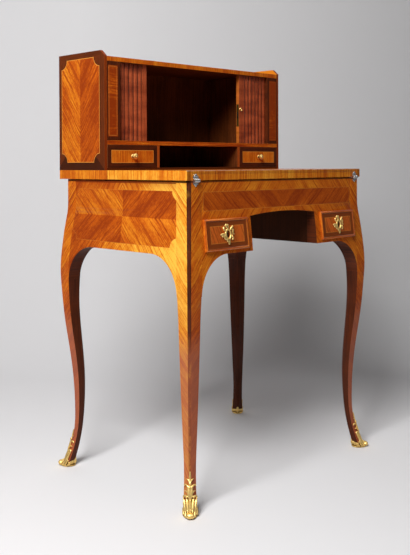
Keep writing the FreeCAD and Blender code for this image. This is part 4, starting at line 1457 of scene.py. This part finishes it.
class DESK_OT_stage(bpy.types.Operator):
    """Set the floor, the backdrop, the lights and the camera."""

    bl_idname = "desk.stage"
    bl_label = "Studio"

    def execute(self, context):
        studio = context.scene.desk_studio
        context.scene.view_settings.view_transform = "Standard"
        self.make_paper(studio)
        self.make_lights(context.scene, studio)
        self.make_camera(context.scene, studio)
        return {"FINISHED"}

    def make_paper(self, studio):
        """Paper that runs along the floor and bends up behind the desk, seen from the camera."""
        shape = bmesh.new()
        near, flat, bend, height, half_width, steps = 4.0, 0.75, 0.6, 4.0, 6.0, 12
        profile = [(-near, 0.0), (flat, 0.0)]
        for step in range(1, steps + 1):
            angle = pi / 2 * step / steps
            profile.append((flat + bend * sin(angle), bend - bend * cos(angle)))
        profile.append((flat + bend, height))
        verts = [shape.verts.new((-half_width, far, up)) for far, up in profile]
        edges = [shape.edges.new(pair) for pair in zip(verts, verts[1:])]
        drawn = bmesh.ops.extrude_edge_only(shape, edges=edges)["geom"]
        bmesh.ops.translate(shape, vec=(2 * half_width, 0, 0), verts=verts_among(drawn))
        turned = Matrix.Rotation(-studio.turn, 3, "Z")
        bmesh.ops.rotate(shape, cent=(0, 0, 0), matrix=turned, verts=shape.verts)
        shape.normal_update()
        seen_from = Vector((-sin(studio.turn), -cos(studio.turn), 1))
        under = [face for face in shape.faces if face.normal.dot(seen_from) < 0]
        bmesh.ops.reverse_faces(shape, faces=under)
        paper = piece_from(mesh_from(shape, "studio_paper"), "studio_paper")
        paper.data.materials.append(finish_named("studio paper", make_paper_finish, studio))

    def make_lights(self, scene, studio):
        """A large soft light on the left, a weak one in front and light from the room."""
        self.add_light(scene, "key", studio.key, place=(-1.8, -0.75, 2.25), target=(0.0, -0.05, 0.5), size=1.05)
        self.add_light(scene, "fill", studio.fill, place=(0.6, -2.8, 2.0), target=(0.0, 0.0, 0.5), size=1.6)
        scene.world = bpy.data.worlds.new("studio room")
        scene.world.use_nodes = True
        scene.world.node_tree.nodes.clear()
        wire = Wire(scene.world.node_tree)

        def glow(colour, strength):
            return wire.node("ShaderNodeBackground", {}, {"Color": colour, "Strength": strength})

        way = wire.node("ShaderNodeTexCoord", output="Generated")
        up = wire.node("ShaderNodeSeparateXYZ", {}, {0: way}).out("Z")
        greys = ((0.0, 44), (0.25, 84), (0.5, 188), (0.8, 255))
        walls = wire.ramp(up, [(height, linear(grey, grey, grey)) for height, grey in greys])
        white = linear(255, 255, 255)
        room, pale = glow(white, studio.room), glow(white, studio.shown)
        mirrored = glow(walls, studio.shown * studio.mirrored)
        ray = wire.node("ShaderNodeLightPath", output="Is Camera Ray")
        gloss = ray.out("Is Glossy Ray").most(ray.out("Is Transmission Ray"))
        light = wire.node("ShaderNodeMixShader", {}, {0: gloss, 1: room, 2: mirrored})
        both = wire.node("ShaderNodeMixShader", {}, {0: ray, 1: light, 2: pale})
        wire.node("ShaderNodeOutputWorld", {}, {"Surface": both})

    def add_light(self, scene, name, power, place, target, size):
        lamp = bpy.data.lights.new(name, "AREA")
        lamp.energy = power
        lamp.size = size
        stand = bpy.data.objects.new(name, lamp)
        stand.location = place
        stand.rotation_euler = (Vector(target) - Vector(place)).to_track_quat("-Z", "Y").to_euler()
        scene.collection.objects.link(stand)

    def make_camera(self, scene, studio):
        camera = bpy.data.cameras.new("camera")
        camera.lens = studio.focal
        camera.sensor_width = 36
        camera.shift_x, camera.shift_y = studio.shift
        stand = bpy.data.objects.new("camera", camera)
        ahead = Matrix.Rotation(-studio.turn, 4, "Z") @ Matrix.Rotation(pi / 2 - studio.tilt, 4, "X")
        stand.matrix_world = Matrix.Translation(studio.place) @ ahead @ Matrix.Rotation(studio.roll, 4, "Z")
        scene.collection.objects.link(stand)
        scene.camera = stand


PIECES = (
    DESK_OT_table, DESK_OT_tops, DESK_OT_cabinet, DESK_OT_tambour, DESK_OT_small_drawers, DESK_OT_lower_drawers,
    DESK_OT_sabots, DESK_OT_hinges, DESK_OT_stage,
)


class DESK_PT_panel(bpy.types.Panel):
    """The desk's pieces and settings."""

    bl_idname = "DESK_PT_panel"
    bl_label = "Bonheur du jour"
    bl_space_type = "VIEW_3D"
    bl_region_type = "UI"
    bl_category = "Desk"

    def draw(self, context):
        for operator in PIECES:
            self.layout.operator(operator.bl_idname)
        for group in (context.scene.desk_colours, context.scene.desk_inlay, context.scene.desk_studio):
            for key in group.__annotations__:
                self.layout.prop(group, key)


CLASSES = (DeskColours, InlaySizes, StudioSettings, *PIECES, DESK_PT_panel)


def register():
    for one in CLASSES:
        bpy.utils.register_class(one)
    bpy.types.Scene.desk_colours = bpy.props.PointerProperty(type=DeskColours)
    bpy.types.Scene.desk_inlay = bpy.props.PointerProperty(type=InlaySizes)
    bpy.types.Scene.desk_studio = bpy.props.PointerProperty(type=StudioSettings)


def unregister():
    del bpy.types.Scene.desk_studio
    del bpy.types.Scene.desk_inlay
    del bpy.types.Scene.desk_colours
    for one in reversed(CLASSES):
        bpy.utils.unregister_class(one)


def main():
    register()
    bpy.ops.desk.table()
    bpy.ops.desk.tops()
    bpy.ops.desk.cabinet()
    bpy.ops.desk.tambour()
    bpy.ops.desk.small_drawers()
    bpy.ops.desk.lower_drawers()
    bpy.ops.desk.sabots()
    bpy.ops.desk.hinges()
    bpy.ops.desk.stage()


if __name__ == "__main__":
    main()
